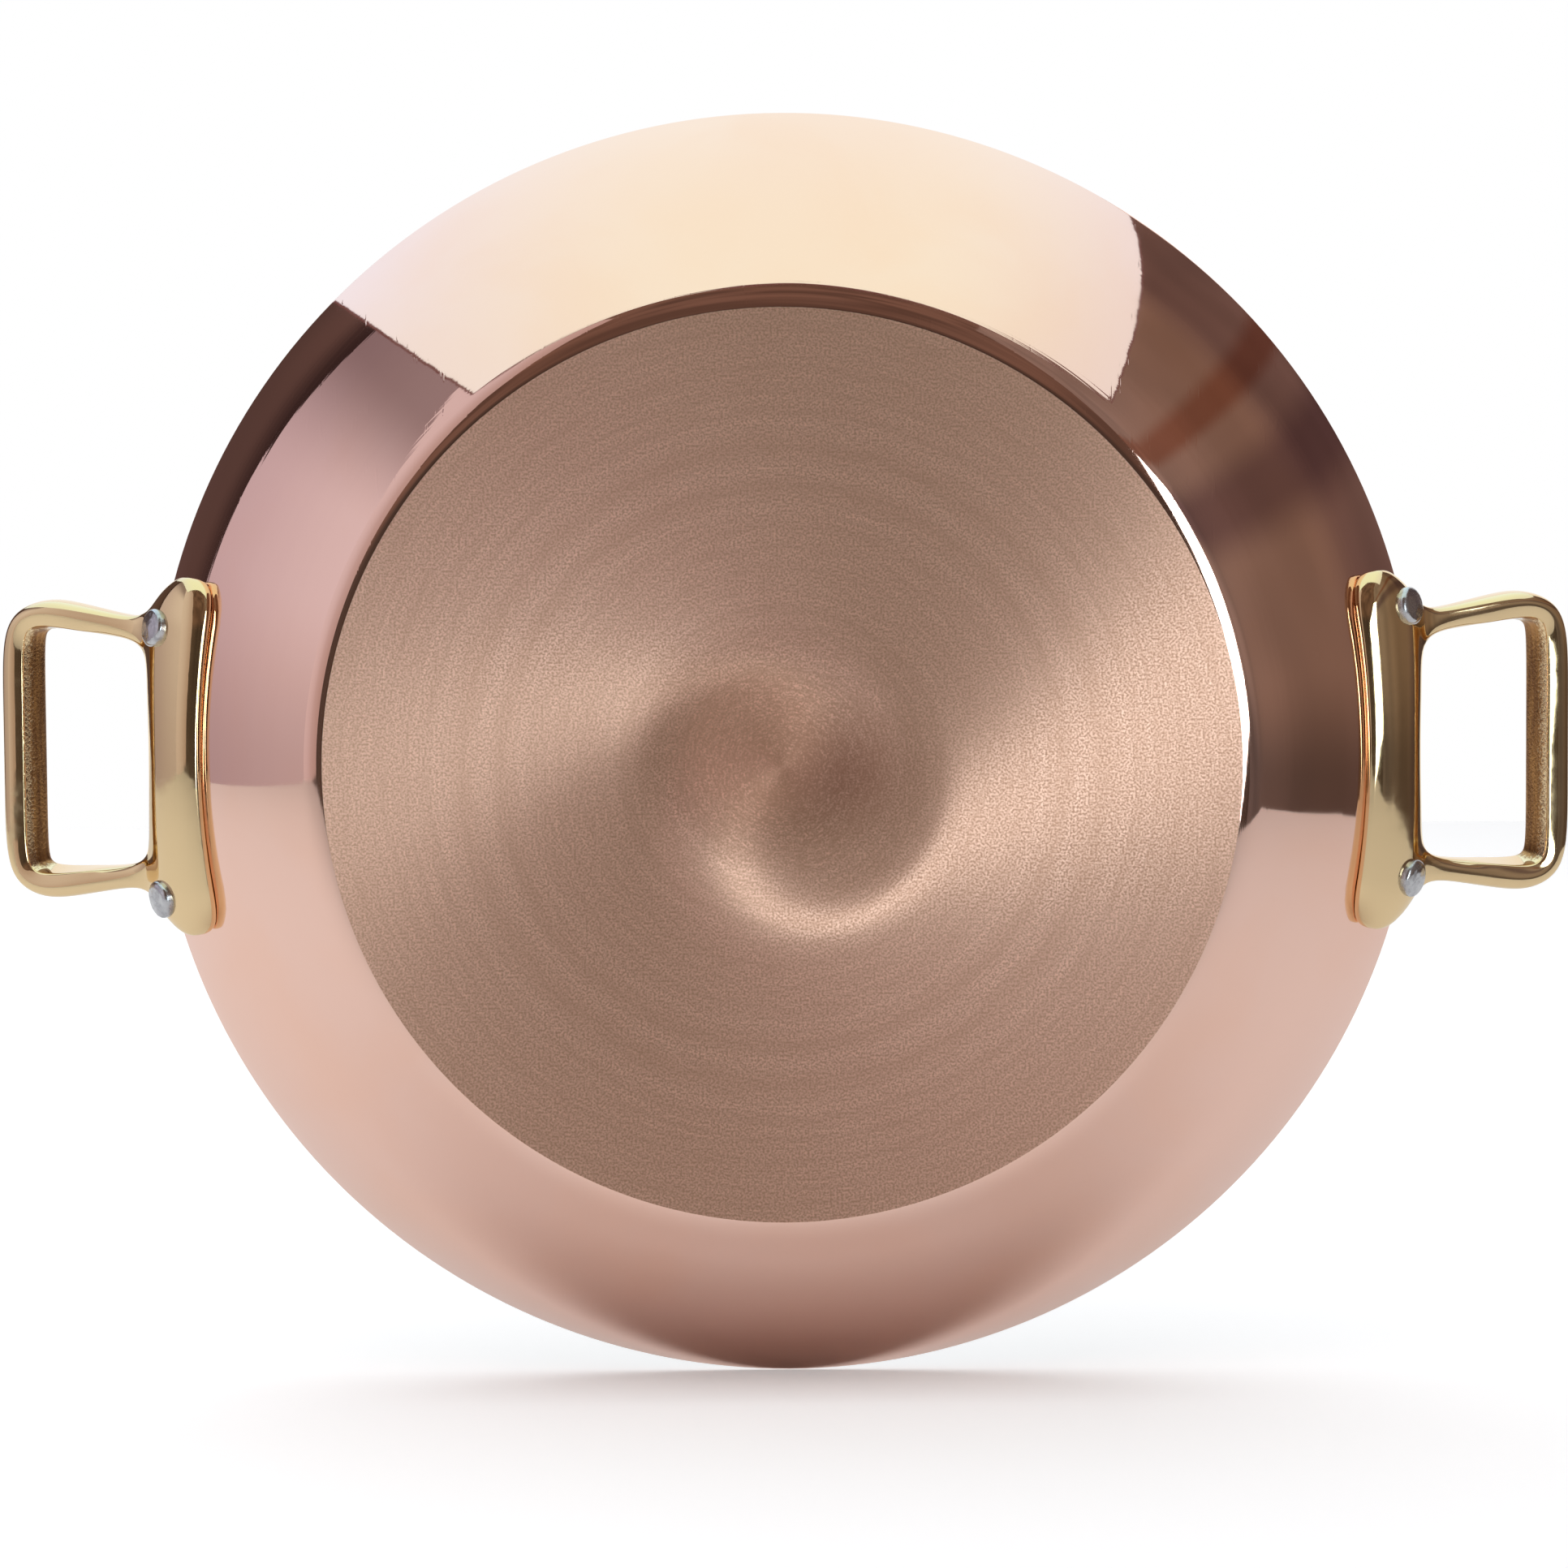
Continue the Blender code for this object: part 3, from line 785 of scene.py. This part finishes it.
def swirled_lay(tree, flat):
    """Direction of the brushing: straight out from the axis, turned by the swirl."""
    away = vector_math(tree, "DISTANCE", flat, SWIRL_CENTRE)
    spread = do_math(tree, "EXPONENT", do_math(tree, "DIVIDE", away, -SWIRL_REACH))
    core = do_math(tree, "POWER", do_math(tree, "DIVIDE", away, SWIRL_CORE_RADIUS), SWIRL_CORE_POWER)
    core = do_math(tree, "EXPONENT", do_math(tree, "MULTIPLY", core, -1.0))
    angle = do_math(tree, "SUBTRACT", do_math(tree, "MULTIPLY", spread, -SWIRL_SPREAD_ANGLE), SWIRL_LAY)
    angle = do_math(tree, "ADD", angle, do_math(tree, "MULTIPLY", core, -SWIRL_CORE_ANGLE))
    inputs = {"Vector": flat, "Angle": angle}
    return add_node(tree, "VectorRotate", inputs, rotation_type="Z_AXIS").outputs[0]


def brushed_copper_material(colours):
    """Copper brushed in circles: short strokes, a sandy sparkle, faint rings and a swirl in the middle."""
    material, tree, shader = new_metal("brushed_copper", 0.45, 0.92)
    grain = use_group(tree, turned_grain_group, {"Grains per metre": 2400.0})
    flat = place_from_axis(tree)
    darker = shaded(colours.brushed_copper, (0.70, 0.63, 0.57))
    sand = map_range(tree, grain["Grain"], 0.0, 1.0, SAND_BAND)
    tone = mix_colours(tree, sand, darker, shaded(colours.brushed_copper))
    line_depth = map_range(tree, vector_math(tree, "LENGTH", flat), 1.0, 0.32, (0.006, 0.030))
    line_shade = map_range(tree, grain["Lines"], line_depth, 0.0, SOFT_BAND)
    ring_shade = map_range(tree, grain["Rings"], 0.0, 0.3, WIDE_BAND)
    tone = mix_colours(tree, do_math(tree, "ADD", line_shade, ring_shade), tone, darker)
    # Painted shade: the colour is taken down in a spot right of the middle, in place of the shading of a
    # dished middle.
    painted_shade = map_range(tree, vector_math(tree, "DISTANCE", flat, PAINTED_SHADE_SPOT), 1.0, 0.0, PAINTED_SHADE_EDGE)
    tone = mix_colours(tree, painted_shade, tone, PAINTED_SHADE_COLOUR, "MULTIPLY")
    grainy = map_range(tree, grain["Grain"], 0.54, 0.42, SOFT_BAND)
    from_worn = vector_math(tree, "DISTANCE", flat, WORN_SPOT)
    worn = map_range(tree, from_worn, WORN_SPOT_ROUGHNESS, 0.0, WORN_SPOT_EDGE)
    rough = do_math(tree, "ADD", grainy, worn)
    lay = swirled_lay(tree, flat)
    link_all(tree, {"Base Color": tone, "Roughness": rough, "Tangent": lay}, shader.inputs)
    height = do_math(tree, "ADD", do_math(tree, "MULTIPLY", grain["Lines"], 0.6), grain["Grain"])
    add_bump(tree, shader, height, 0.30, 0.00005)
    return material


def brass_material(colours):
    """Cast brass, polished outside and left as cast inside the loop."""
    material, tree, shader = new_metal("polished_brass", 0.08)
    rates = {"Smudges per metre": 90.0, "Scratches per metre": 2500.0}
    marks = use_group(tree, handling_marks_group, rates)
    skin = add_node(tree, "Attribute", attribute_name="as_cast").outputs["Fac"]
    place = object_place(tree)
    sand = add_noise(tree, place, 1800.0, 4.0)
    uneven = do_math(tree, "ADD", skin, map_range(tree, sand, -0.15, 0.15, WIDE_BAND))
    cast = map_range(tree, uneven, 0.0, 1.0, (0.55, 0.85))
    drawn = add_node(tree, "Mapping", {"Vector": place, "Scale": (1.0, 0.12, 1.0)}).outputs[0]
    streaks = add_noise(tree, drawn, 900.0, 4.0)
    brown = shaded(colours.brass, (0.30, 0.18, 0.10))
    gold = shaded(colours.brass, (0.56, 0.37, 0.20))
    casting = mix_colours(tree, map_range(tree, streaks, 0.0, 1.0, SOFT_BAND), brown, gold)
    tone = mix_colours(tree, cast, shaded(colours.brass), casting)
    polish = map_range(tree, marks["Smudge"], 0.05, 0.11)
    rough = do_math(tree, "ADD", polish, map_range(tree, cast, 0.0, 0.26))
    link_all(tree, {"Base Color": tone, "Roughness": rough}, shader.inputs)
    waves = add_noise(tree, place, 160.0, 2.0)
    wavy = add_bump(tree, shader, waves, 0.10, 0.0003)
    rough_skin = add_bump(tree, shader, do_math(tree, "MULTIPLY", sand, cast), 0.5, 0.0002, wavy)
    add_bump(tree, shader, marks["Scratch"], 0.04, 0.00002, rough_skin)
    return material


def steel_material(colours):
    """Satin steel with a circular grain."""
    material, tree, shader = new_metal("satin_steel", 0.28, 0.5)
    grain = use_group(tree, turned_grain_group, {"Strokes per turn": 5.0})
    marks = use_group(tree, handling_marks_group)
    darker = shaded(colours.steel, (0.86, 0.86, 0.87))
    lines = map_range(tree, grain["Lines"], 0.0, 1.0, WIDE_BAND)
    looks = {
        "Base Color": mix_colours(tree, lines, darker, shaded(colours.steel)),
        "Roughness": map_range(tree, marks["Smudge"], 0.26, 0.31),
        "Tangent": place_from_axis(tree),
    }
    link_all(tree, looks, shader.inputs)
    add_bump(tree, shader, grain["Lines"], 0.15, 0.00005)
    return material


def rivet_material(colours):
    """Satin grey metal, dulled and lightly hammered."""
    material, tree, shader = new_metal("rivet_alloy", 0.25)
    rates = {"Smudges per metre": 500.0, "Scratches per metre": 5000.0}
    marks = use_group(tree, handling_marks_group, rates)
    darker = shaded(colours.rivet, (0.72, 0.72, 0.74))
    looks = {
        "Base Color": mix_colours(tree, marks["Smudge"], shaded(colours.rivet), darker),
        "Roughness": map_range(tree, marks["Smudge"], 0.18, 0.36),
    }
    link_all(tree, looks, shader.inputs)
    dents = add_noise(tree, object_place(tree), 700.0, 1.0)
    hammered = add_bump(tree, shader, dents, 0.35, 0.0003)
    add_bump(tree, shader, marks["Scratch"], 0.10, 0.0001, hammered)
    return material


def finish_piece(piece, node, slot, *materials):
    """Give a piece its materials and smooth faces, and fix it to the pan in place of a CAD node."""
    piece.data.materials.clear()
    for material in materials:
        piece.data.materials.append(material)
    piece.data.shade_smooth()
    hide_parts(node)
    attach(piece, "root")


TURN_STEPS = 256
RIVET_STEPS = 64
CASTING_LEVELS = 3
BRUSHED_EDGE = 0.0003
COPPER_INNER_ROUND = 0.00008
STEEL_OUTER_ROUND = 0.00005
STEEL_INNER_ROUND = 0.00015
FINE_PLY_GAP = 0.00002


class COPPERPAN_OT_shell(bpy.types.Operator):
    """Turn the copper shell, polished on its wall and brushed on its base"""

    bl_idname = "copperpan.shell"
    bl_label = "Copper shell"

    def execute(self, context):
        settings = PanSettings(context.scene)
        body = settings.body
        depth = body.copper_thickness
        section = ply_section(settings.wall, 0.0, depth, body.rim_round, COPPER_INNER_ROUND)
        shell = turned_piece("fine_copper_shell", section, TURN_STEPS)
        drill_rivet_holes(shell, settings)
        metals = (polished_copper_material(settings.colours), brushed_copper_material(settings.colours))
        finish_piece(shell, "copper_shell", "copper", *metals)
        for face in shell.data.polygons:
            near_base = face.center.z < 0.25 * depth
            on_disc = face.center.xy.length < body.base_radius + BRUSHED_EDGE
            face.material_index = int(near_base and on_disc)
        return {"FINISHED"}


class COPPERPAN_OT_lining(bpy.types.Operator):
    """Turn the steel lining, the cooking surface"""

    bl_idname = "copperpan.lining"
    bl_label = "Steel lining"

    def execute(self, context):
        settings = PanSettings(context.scene)
        outer_depth = settings.body.copper_thickness + FINE_PLY_GAP
        depths = (outer_depth, settings.body.wall_thickness)
        section = ply_section(settings.wall, *depths, STEEL_OUTER_ROUND, STEEL_INNER_ROUND)
        lining = turned_piece("fine_steel_lining", section, TURN_STEPS)
        drill_rivet_holes(lining, settings)
        finish_piece(lining, "steel_lining", "lining_steel", steel_material(settings.colours))
        return {"FINISHED"}


class COPPERPAN_OT_handles(bpy.types.Operator):
    """Cast the two brass handles"""

    bl_idname = "copperpan.handles"
    bl_label = "Brass handles"

    def execute(self, context):
        settings = PanSettings(context.scene)
        cage = HandleCage(settings.handle, settings.rivets, settings.wall)
        brass = brass_material(settings.colours)
        for side, half_turn in SIDES:
            handle = add_object(f"{side}_brass_handle", cage.mesh(f"{side}_casting"))
            handle.data.transform(Matrix.Rotation(half_turn, 4, "Z"))
            soften = handle.modifiers.new("Cast form", "SUBSURF")
            soften.levels = CASTING_LEVELS
            soften.render_levels = CASTING_LEVELS
            drill_rivet_holes(handle, settings)
            finish_piece(handle, f"{side}_handle", "polished_brass", brass)
        return {"FINISHED"}


class COPPERPAN_OT_rivets(bpy.types.Operator):
    """Set the four rivets"""

    bl_idname = "copperpan.rivets"
    bl_label = "Rivets"

    def execute(self, context):
        settings = PanSettings(context.scene)
        section = rivet_section(settings.rivets, settings.body, settings.handle, settings.wall)
        alloy = rivet_material(settings.colours)
        for side, half_turn in SIDES:
            for up, across in rivet_places(settings.rivets):
                towards_rear = (across > 0.0) == (side == "right")
                place = f"{side}_{'rear' if towards_rear else 'front'}"
                rivet = turned_piece(f"{place}_button_rivet", section, RIVET_STEPS)
                settle(rivet)
                rivet.data.transform(rivet_matrix(settings.wall, up, across, half_turn))
                finish_piece(rivet, f"{place}_rivet", "rivet_alloy", alloy)
        return {"FINISHED"}


# Ends of the dim room round the table. The photograph's up is -Y, and its camera looks along +Z.
ROOM_X = (-2.8, 1.3)
ROOM_Y = (1.2, -2.6)
ROOM_Z = (-2.4, 1.8)
RIGHT_ROOM_FOOT = 0.9

PANEL_Y = -0.60
PANEL_OUTLINE = ((-0.572, -0.371), (-0.80, 1.25), (0.29, 1.25), (0.618, -0.349), (0.02, -0.273))
PANEL_MIDDLE = (0.0, 0.3)
PANEL_FRAME_WIDTH = 0.014
PANEL_FRAME_LIFT = 0.002
PANEL_FRAME_COLOUR = (0.16, 0.08, 0.08)
KEY_OUTLINE = ((-0.95, -0.60), (0.62, -0.60), (0.60, 1.10), (-1.10, 1.10))
KEY_STRENGTH = 1.40

TABLE_OUTLINE = (
    (-1.10, 0.90),
    (-1.10, -0.55),
    (-0.45, -0.82),
    (0.17, -0.80),
    (0.60, -0.23),
    (0.60, 0.05),
    (0.36, 0.90),
)
TABLE_GAP = 0.0002
TABLE_LIFT = 0.33
FLOOR_GAP = 0.0005
FLOOR_REACH = 6.0
FLOOR_LIFT = 0.45
TABLE_WHITE = (0.85, 0.855, 0.87, 1.0)
WHITE = (1.0, 1.0, 1.0)
WORLD_LIGHT = 0.24

LEFT_WALL_X = -0.73
LEFT_WALL_FOOT = 0.100
LEFT_WALL_OUTLINE = ((-0.37, LEFT_WALL_FOOT), (0.335, LEFT_WALL_FOOT), (0.215, -0.80), (-0.37, -0.80))
LEFT_BOARD_CORNERS = (
    (LEFT_WALL_X, LEFT_WALL_FOOT, -0.37),
    (-0.46, 0.105, -0.806),
    (-0.46, -1.05, -0.806),
    (LEFT_WALL_X, -1.50, -0.37),
)
LEFT_GAP_DEPTH = 0.03
LEFT_GAP_NEAR = 0.1
LEFT_GAP_TOP = -1.4

# The softbox as the pan's lower right edge sees it: headings and heights in degrees.
SOFTBOX_HEADINGS = ((1.6, -9.8), (30.5, -3.2), (37.3, 23.2), (27.2, 22.7))
SOFTBOX_EDGE_X = 0.087
SOFTBOX_DISTANCE = 0.64
SOFTBOX_COLOUR = (0.92, 1.06, 1.12)
SOFTBOX_STRENGTH = 5.4

# Fades of the cards: the axis, its two ends, and the colours there.
CREAM_FADES = (
    (2, -0.3, 0.7, (1.0, 1.21, 1.10), (1.01, 1.26, 1.32)),
    (0, 0.15, 0.62, WHITE, (0.90, 0.84, 0.96)),
    (0, -0.10, -0.62, WHITE, (0.94, 0.93, 1.06)),
)
MAUVE_FADES = (
    (2, 0.35, -0.35, (0.58, 0.53, 0.62), (0.72, 0.69, 0.77)),
    (1, -0.62, -0.32, (0.42, 0.38, 0.38), WHITE),
    (1, -0.20, 0.10, WHITE, (0.72, 0.68, 0.66)),
)
BEIGE_FADES = (
    (0, -0.73, -0.46, (0.69, 0.65, 0.71), (0.50, 0.42, 0.42)),
    (1, -0.15, 0.10, WHITE, (0.90, 0.86, 0.84)),
)
GAP_FADES = ((2, 0.26, 0.46, (0.05, 0.032, 0.033), (0.12, 0.08, 0.075)),)
RIGHT_ROOM_FADES = (
    (2, 0.55, 0.15, (0.165, 0.115, 0.105), (0.235, 0.172, 0.138)),
    (2, 0.10, -1.30, WHITE, (1.28, 1.45, 1.65)),
    (1, -0.10, 0.20, WHITE, (0.46, 0.47, 0.50)),
    (1, -0.40, -0.56, WHITE, (0.55, 0.50, 0.58)),
    (1, -0.64, -0.78, WHITE, (1.75, 1.90, 1.65)),
    (1, -0.83, -0.90, WHITE, (0.76, 0.52, 0.43)),
    (1, -0.96, -1.05, WHITE, (1.28, 1.85, 2.20)),
)
FRONT_ROOM_FADES = ((1, -0.10, -0.50, (0.085, 0.065, 0.055), (0.18, 0.115, 0.09)),)


def add_card(name, corners, material, seen_by=("glossy",)):
    """Add a flat stage surface from its corners, for the kinds of ray that may see it."""
    mesh = bpy.data.meshes.new(name)
    mesh.from_pydata(corners, [], [tuple(range(len(corners)))])
    mesh.materials.append(material)
    card = add_object(name, mesh)
    card.visible_camera = "camera" in seen_by
    card.visible_glossy = "glossy" in seen_by
    card.visible_diffuse = "diffuse" in seen_by
    card.visible_transmission = "camera" in seen_by
    card.visible_shadow = "diffuse" in seen_by


def rectangle(across, along):
    """Corners of a rectangle, from its two ends in each direction."""
    return [(across[0], along[0]), (across[1], along[0]), (across[1], along[1]), (across[0], along[1])]


def lying(outline, y):
    """Corners of a level card from its X and Z outline."""
    return [(x, y, z) for x, z in outline]


def facing_sideways(outline, x):
    """Corners of an upright card at the side from its Z and Y outline."""
    return [(x, y, z) for z, y in outline]


def facing_camera(outline, z):
    """Corners of an upright card at the front from its X and Y outline."""
    return [(x, y, z) for x, y in outline]


def seen_from(edge_x, yaw, rise, distance):
    """Point that the pan's edge at edge_x sees at a heading and a height in degrees, from the front."""
    turn = math.radians(yaw)
    lift = math.radians(rise)
    ahead = distance * math.cos(lift)
    return (edge_x + ahead * math.sin(turn), -distance * math.sin(lift), -ahead * math.cos(turn))


def empty_material(name):
    """Start a material without nodes, and give it with its node tree."""
    material = bpy.data.materials.new(name)
    material.use_nodes = True
    material.node_tree.nodes.clear()
    return material, material.node_tree


def show_surface(tree, shader):
    """Show a shader on the material's surface."""
    add_node(tree, "OutputMaterial", {"Surface": shader.outputs[0]})


def glow_material(name, colour, strength=1.0):
    """Glow of one colour."""
    material, tree = empty_material(name)
    show_surface(tree, add_node(tree, "Emission", {0: (*colour, 1.0), 1: strength}))
    return material


def fading_material(name, fades, patches=0.0):
    """Glow that fades from colour to colour, with soft darker patches."""
    material, tree = empty_material(name)
    place = object_place(tree)
    parts = add_node(tree, "SeparateXYZ", {0: place}).outputs
    colour = (*WHITE, 1.0)
    for axis, start, stop, first, last in fades:
        share = map_range(tree, parts[axis], 0.0, 1.0, (start, stop), interpolation_type="SMOOTHSTEP")
        fade = mix_colours(tree, share, (*first, 1.0), (*last, 1.0))
        colour = mix_colours(tree, 1.0, colour, fade, "MULTIPLY")
    if patches > 0.0:
        clouds = add_noise(tree, place, 1.6, 1.0)
        shade = map_range(tree, clouds, 1.0 - patches, 1.0, SOFT_BAND)
        colour = mix_colours(tree, 1.0, colour, shade, "MULTIPLY")
    show_surface(tree, add_node(tree, "Emission", {0: colour, 1: 1.0}))
    return material


def table_material(name, camera_lift):
    """White table: seen only from its front, lifted to white for the camera, with its shadows kept."""
    material, tree = empty_material(name)
    matt = add_node(tree, "BsdfDiffuse", {"Color": TABLE_WHITE})
    light_path = add_node(tree, "LightPath")
    glow = do_math(tree, "MULTIPLY", light_path.outputs["Is Camera Ray"], camera_lift)
    lift = add_node(tree, "Emission", {"Color": (*WHITE, 1.0), "Strength": glow})
    both = add_node(tree, "AddShader", {0: matt.outputs[0], 1: lift.outputs[0]})
    clear = add_node(tree, "BsdfTransparent")
    backside = add_node(tree, "NewGeometry").outputs["Backfacing"]
    shown = {0: backside, 1: both.outputs[0], 2: clear.outputs[0]}
    show_surface(tree, add_node(tree, "MixShader", shown))
    return material


def make_world():
    """White world for the camera and for mirrors, and a dimmer one for lighting."""
    world = bpy.data.worlds.new("studio")
    bpy.context.scene.world = world
    world.use_nodes = True
    tree = world.node_tree
    background = tree.nodes["Background"]
    background.inputs["Color"].default_value = (*WHITE, 1.0)
    rays = add_node(tree, "LightPath").outputs
    seen = do_math(tree, "MAXIMUM", rays["Is Camera Ray"], rays["Is Glossy Ray"])
    seen = do_math(tree, "MAXIMUM", seen, rays["Is Transmission Ray"])
    tree.links.new(map_range(tree, seen, WORLD_LIGHT, 1.0), background.inputs["Strength"])


def add_tables():
    """Add the table that the upright pan stands on, and a plain floor under the pan as it lies."""
    corners = lying(TABLE_OUTLINE, cad_bounds[1].y + TABLE_GAP)
    white = table_material("table_white", TABLE_LIFT)
    add_card("photo_table", corners, white, ("camera", "glossy", "diffuse"))
    reach = (-FLOOR_REACH, FLOOR_REACH)
    corners = facing_camera(rectangle(reach, reach), cad_bounds[0].z - FLOOR_GAP)
    add_card("plain_floor", corners, table_material("floor_white", FLOOR_LIFT), ("camera",))


def add_overhead():
    """Add the pale panel over the upright pan, with its dark frame."""
    cream = fading_material("cream_light", CREAM_FADES)
    add_card("overhead_panel", lying(PANEL_OUTLINE, PANEL_Y), cream)
    outer = []
    for corner in PANEL_OUTLINE:
        away = (Vector(corner) - Vector(PANEL_MIDDLE)).normalized()
        outer.append(Vector(corner) + PANEL_FRAME_WIDTH * away)
    frame_shade = glow_material("frame_shade", PANEL_FRAME_COLOUR)
    add_card("panel_frame", lying(outer, PANEL_Y - PANEL_FRAME_LIFT), frame_shade)


def add_left_side():
    """Add the mauve wall on the left, the pale board in front of it and the dark gap behind it."""
    mauve = fading_material("mauve_light", MAUVE_FADES)
    add_card("left_wall", facing_sideways(LEFT_WALL_OUTLINE, LEFT_WALL_X), mauve)
    add_card("left_board", LEFT_BOARD_CORNERS, fading_material("beige_light", BEIGE_FADES))
    outline = rectangle((LEFT_GAP_NEAR, ROOM_Z[1]), (LEFT_WALL_FOOT, LEFT_GAP_TOP))
    gap = fading_material("gap_shade", GAP_FADES, patches=0.3)
    add_card("left_gap", facing_sideways(outline, LEFT_WALL_X - LEFT_GAP_DEPTH), gap)


def add_right_side():
    """Add the bright softbox near the camera, and the dim room on the right."""
    corners = [seen_from(SOFTBOX_EDGE_X, yaw, rise, SOFTBOX_DISTANCE) for yaw, rise in SOFTBOX_HEADINGS]
    add_card("right_softbox", corners, glow_material("softbox_light", SOFTBOX_COLOUR, SOFTBOX_STRENGTH))
    outline = rectangle(ROOM_Z, (RIGHT_ROOM_FOOT, ROOM_Y[1]))
    brown = fading_material("right_room_shade", RIGHT_ROOM_FADES, patches=0.25)
    add_card("right_room", facing_sideways(outline, ROOM_X[1]), brown)


def add_front_room():
    """Add the dark room behind the camera, and over the pan's front."""
    dark = fading_material("front_room_shade", FRONT_ROOM_FADES, patches=0.4)
    add_card("front_room", facing_camera(rectangle(ROOM_X, ROOM_Y), ROOM_Z[0]), dark)
    add_card("room_ceiling", lying(rectangle(ROOM_X, ROOM_Z), ROOM_Y[1]), dark)
    add_card("left_room", facing_sideways(rectangle(ROOM_Z, ROOM_Y), ROOM_X[0]), dark)


def add_key_light():
    """Add the light that the overhead panel gives to the tables. Mirrors see the panel itself."""
    light = glow_material("key_light", WHITE, KEY_STRENGTH)
    add_card("key_panel", lying(KEY_OUTLINE, PANEL_Y), light, ("diffuse",))


class COPPERPAN_OT_stage(bpy.types.Operator):
    """Set up the table, the light cards, the world and the camera"""

    bl_idname = "copperpan.stage"
    bl_label = "Studio and camera"

    def execute(self, context):
        settings = PanSettings(context.scene)
        make_world()
        add_tables()
        add_overhead()
        add_left_side()
        add_right_side()
        add_front_room()
        add_key_light()
        add_photo_camera(settings)
        context.scene.view_settings.view_transform = "Standard"
        return {"FINISHED"}


def add_photo_camera(settings):
    """Put the camera where the photograph was taken from."""
    view = settings.camera
    data = bpy.data.cameras.new("photo_camera")
    camera = add_object("photo_camera", data)
    camera.matrix_world = (
        Matrix.Translation((0.0, 0.0, settings.body.rim_height))
        @ Matrix.Rotation(-view.yaw, 4, "Y")
        @ Matrix.Rotation(math.pi - view.pitch, 4, "X")
        @ Matrix.Rotation(-view.roll, 4, "Z")
        @ Matrix.Translation((0.0, 0.0, view.distance))
    )
    data.sensor_width = SENSOR_WIDTH
    data.lens = SENSOR_WIDTH * view.rim_scale * view.distance / IMAGE_SIDE
    data.shift_x = (0.5 * IMAGE_SIDE - view.rim_column) / IMAGE_SIDE
    data.shift_y = (view.rim_row - 0.5 * IMAGE_SIDE) / IMAGE_SIDE
    data.clip_start, data.clip_end = CAMERA_CLIP
    bpy.context.scene.camera = camera


class COPPERPAN_PT_panel(bpy.types.Panel):
    """Sidebar list of the pan's steps and settings"""

    bl_idname = "COPPERPAN_PT_panel"
    bl_label = "Copper pan"
    bl_space_type = "VIEW_3D"
    bl_region_type = "UI"
    bl_category = "Copper pan"

    def draw(self, context):
        for operator in STEPS:
            self.layout.operator(operator.bl_idname)
        for name in SETTINGS:
            box = self.layout.box()
            group = getattr(context.scene, name)
            for field in group.__annotations__:
                box.prop(group, field)


STEPS = (
    COPPERPAN_OT_shell,
    COPPERPAN_OT_lining,
    COPPERPAN_OT_handles,
    COPPERPAN_OT_rivets,
    COPPERPAN_OT_stage,
)
SETTINGS = {
    "copper_pan_body": PanBodySizes,
    "copper_pan_rivets": RivetSizes,
    "copper_pan_handle": HandleSizes,
    "copper_pan_colours": MetalColours,
    "copper_pan_camera": CameraSizes,
}
CLASSES = (*SETTINGS.values(), *STEPS, COPPERPAN_PT_panel)


def register():
    """Register the classes, and give the scene its settings."""
    for cls in CLASSES:
        bpy.utils.register_class(cls)
    for name, group in SETTINGS.items():
        setattr(bpy.types.Scene, name, PointerProperty(type=group))


def unregister():
    """Take the settings and the classes away."""
    for name in SETTINGS:
        delattr(bpy.types.Scene, name)
    for cls in reversed(CLASSES):
        bpy.utils.unregister_class(cls)


def main():
    """Make the pan's looks, in order."""
    register()
    bpy.ops.copperpan.shell()
    bpy.ops.copperpan.lining()
    bpy.ops.copperpan.handles()
    bpy.ops.copperpan.rivets()
    bpy.ops.copperpan.stage()


if __name__ == "__main__":
    main()
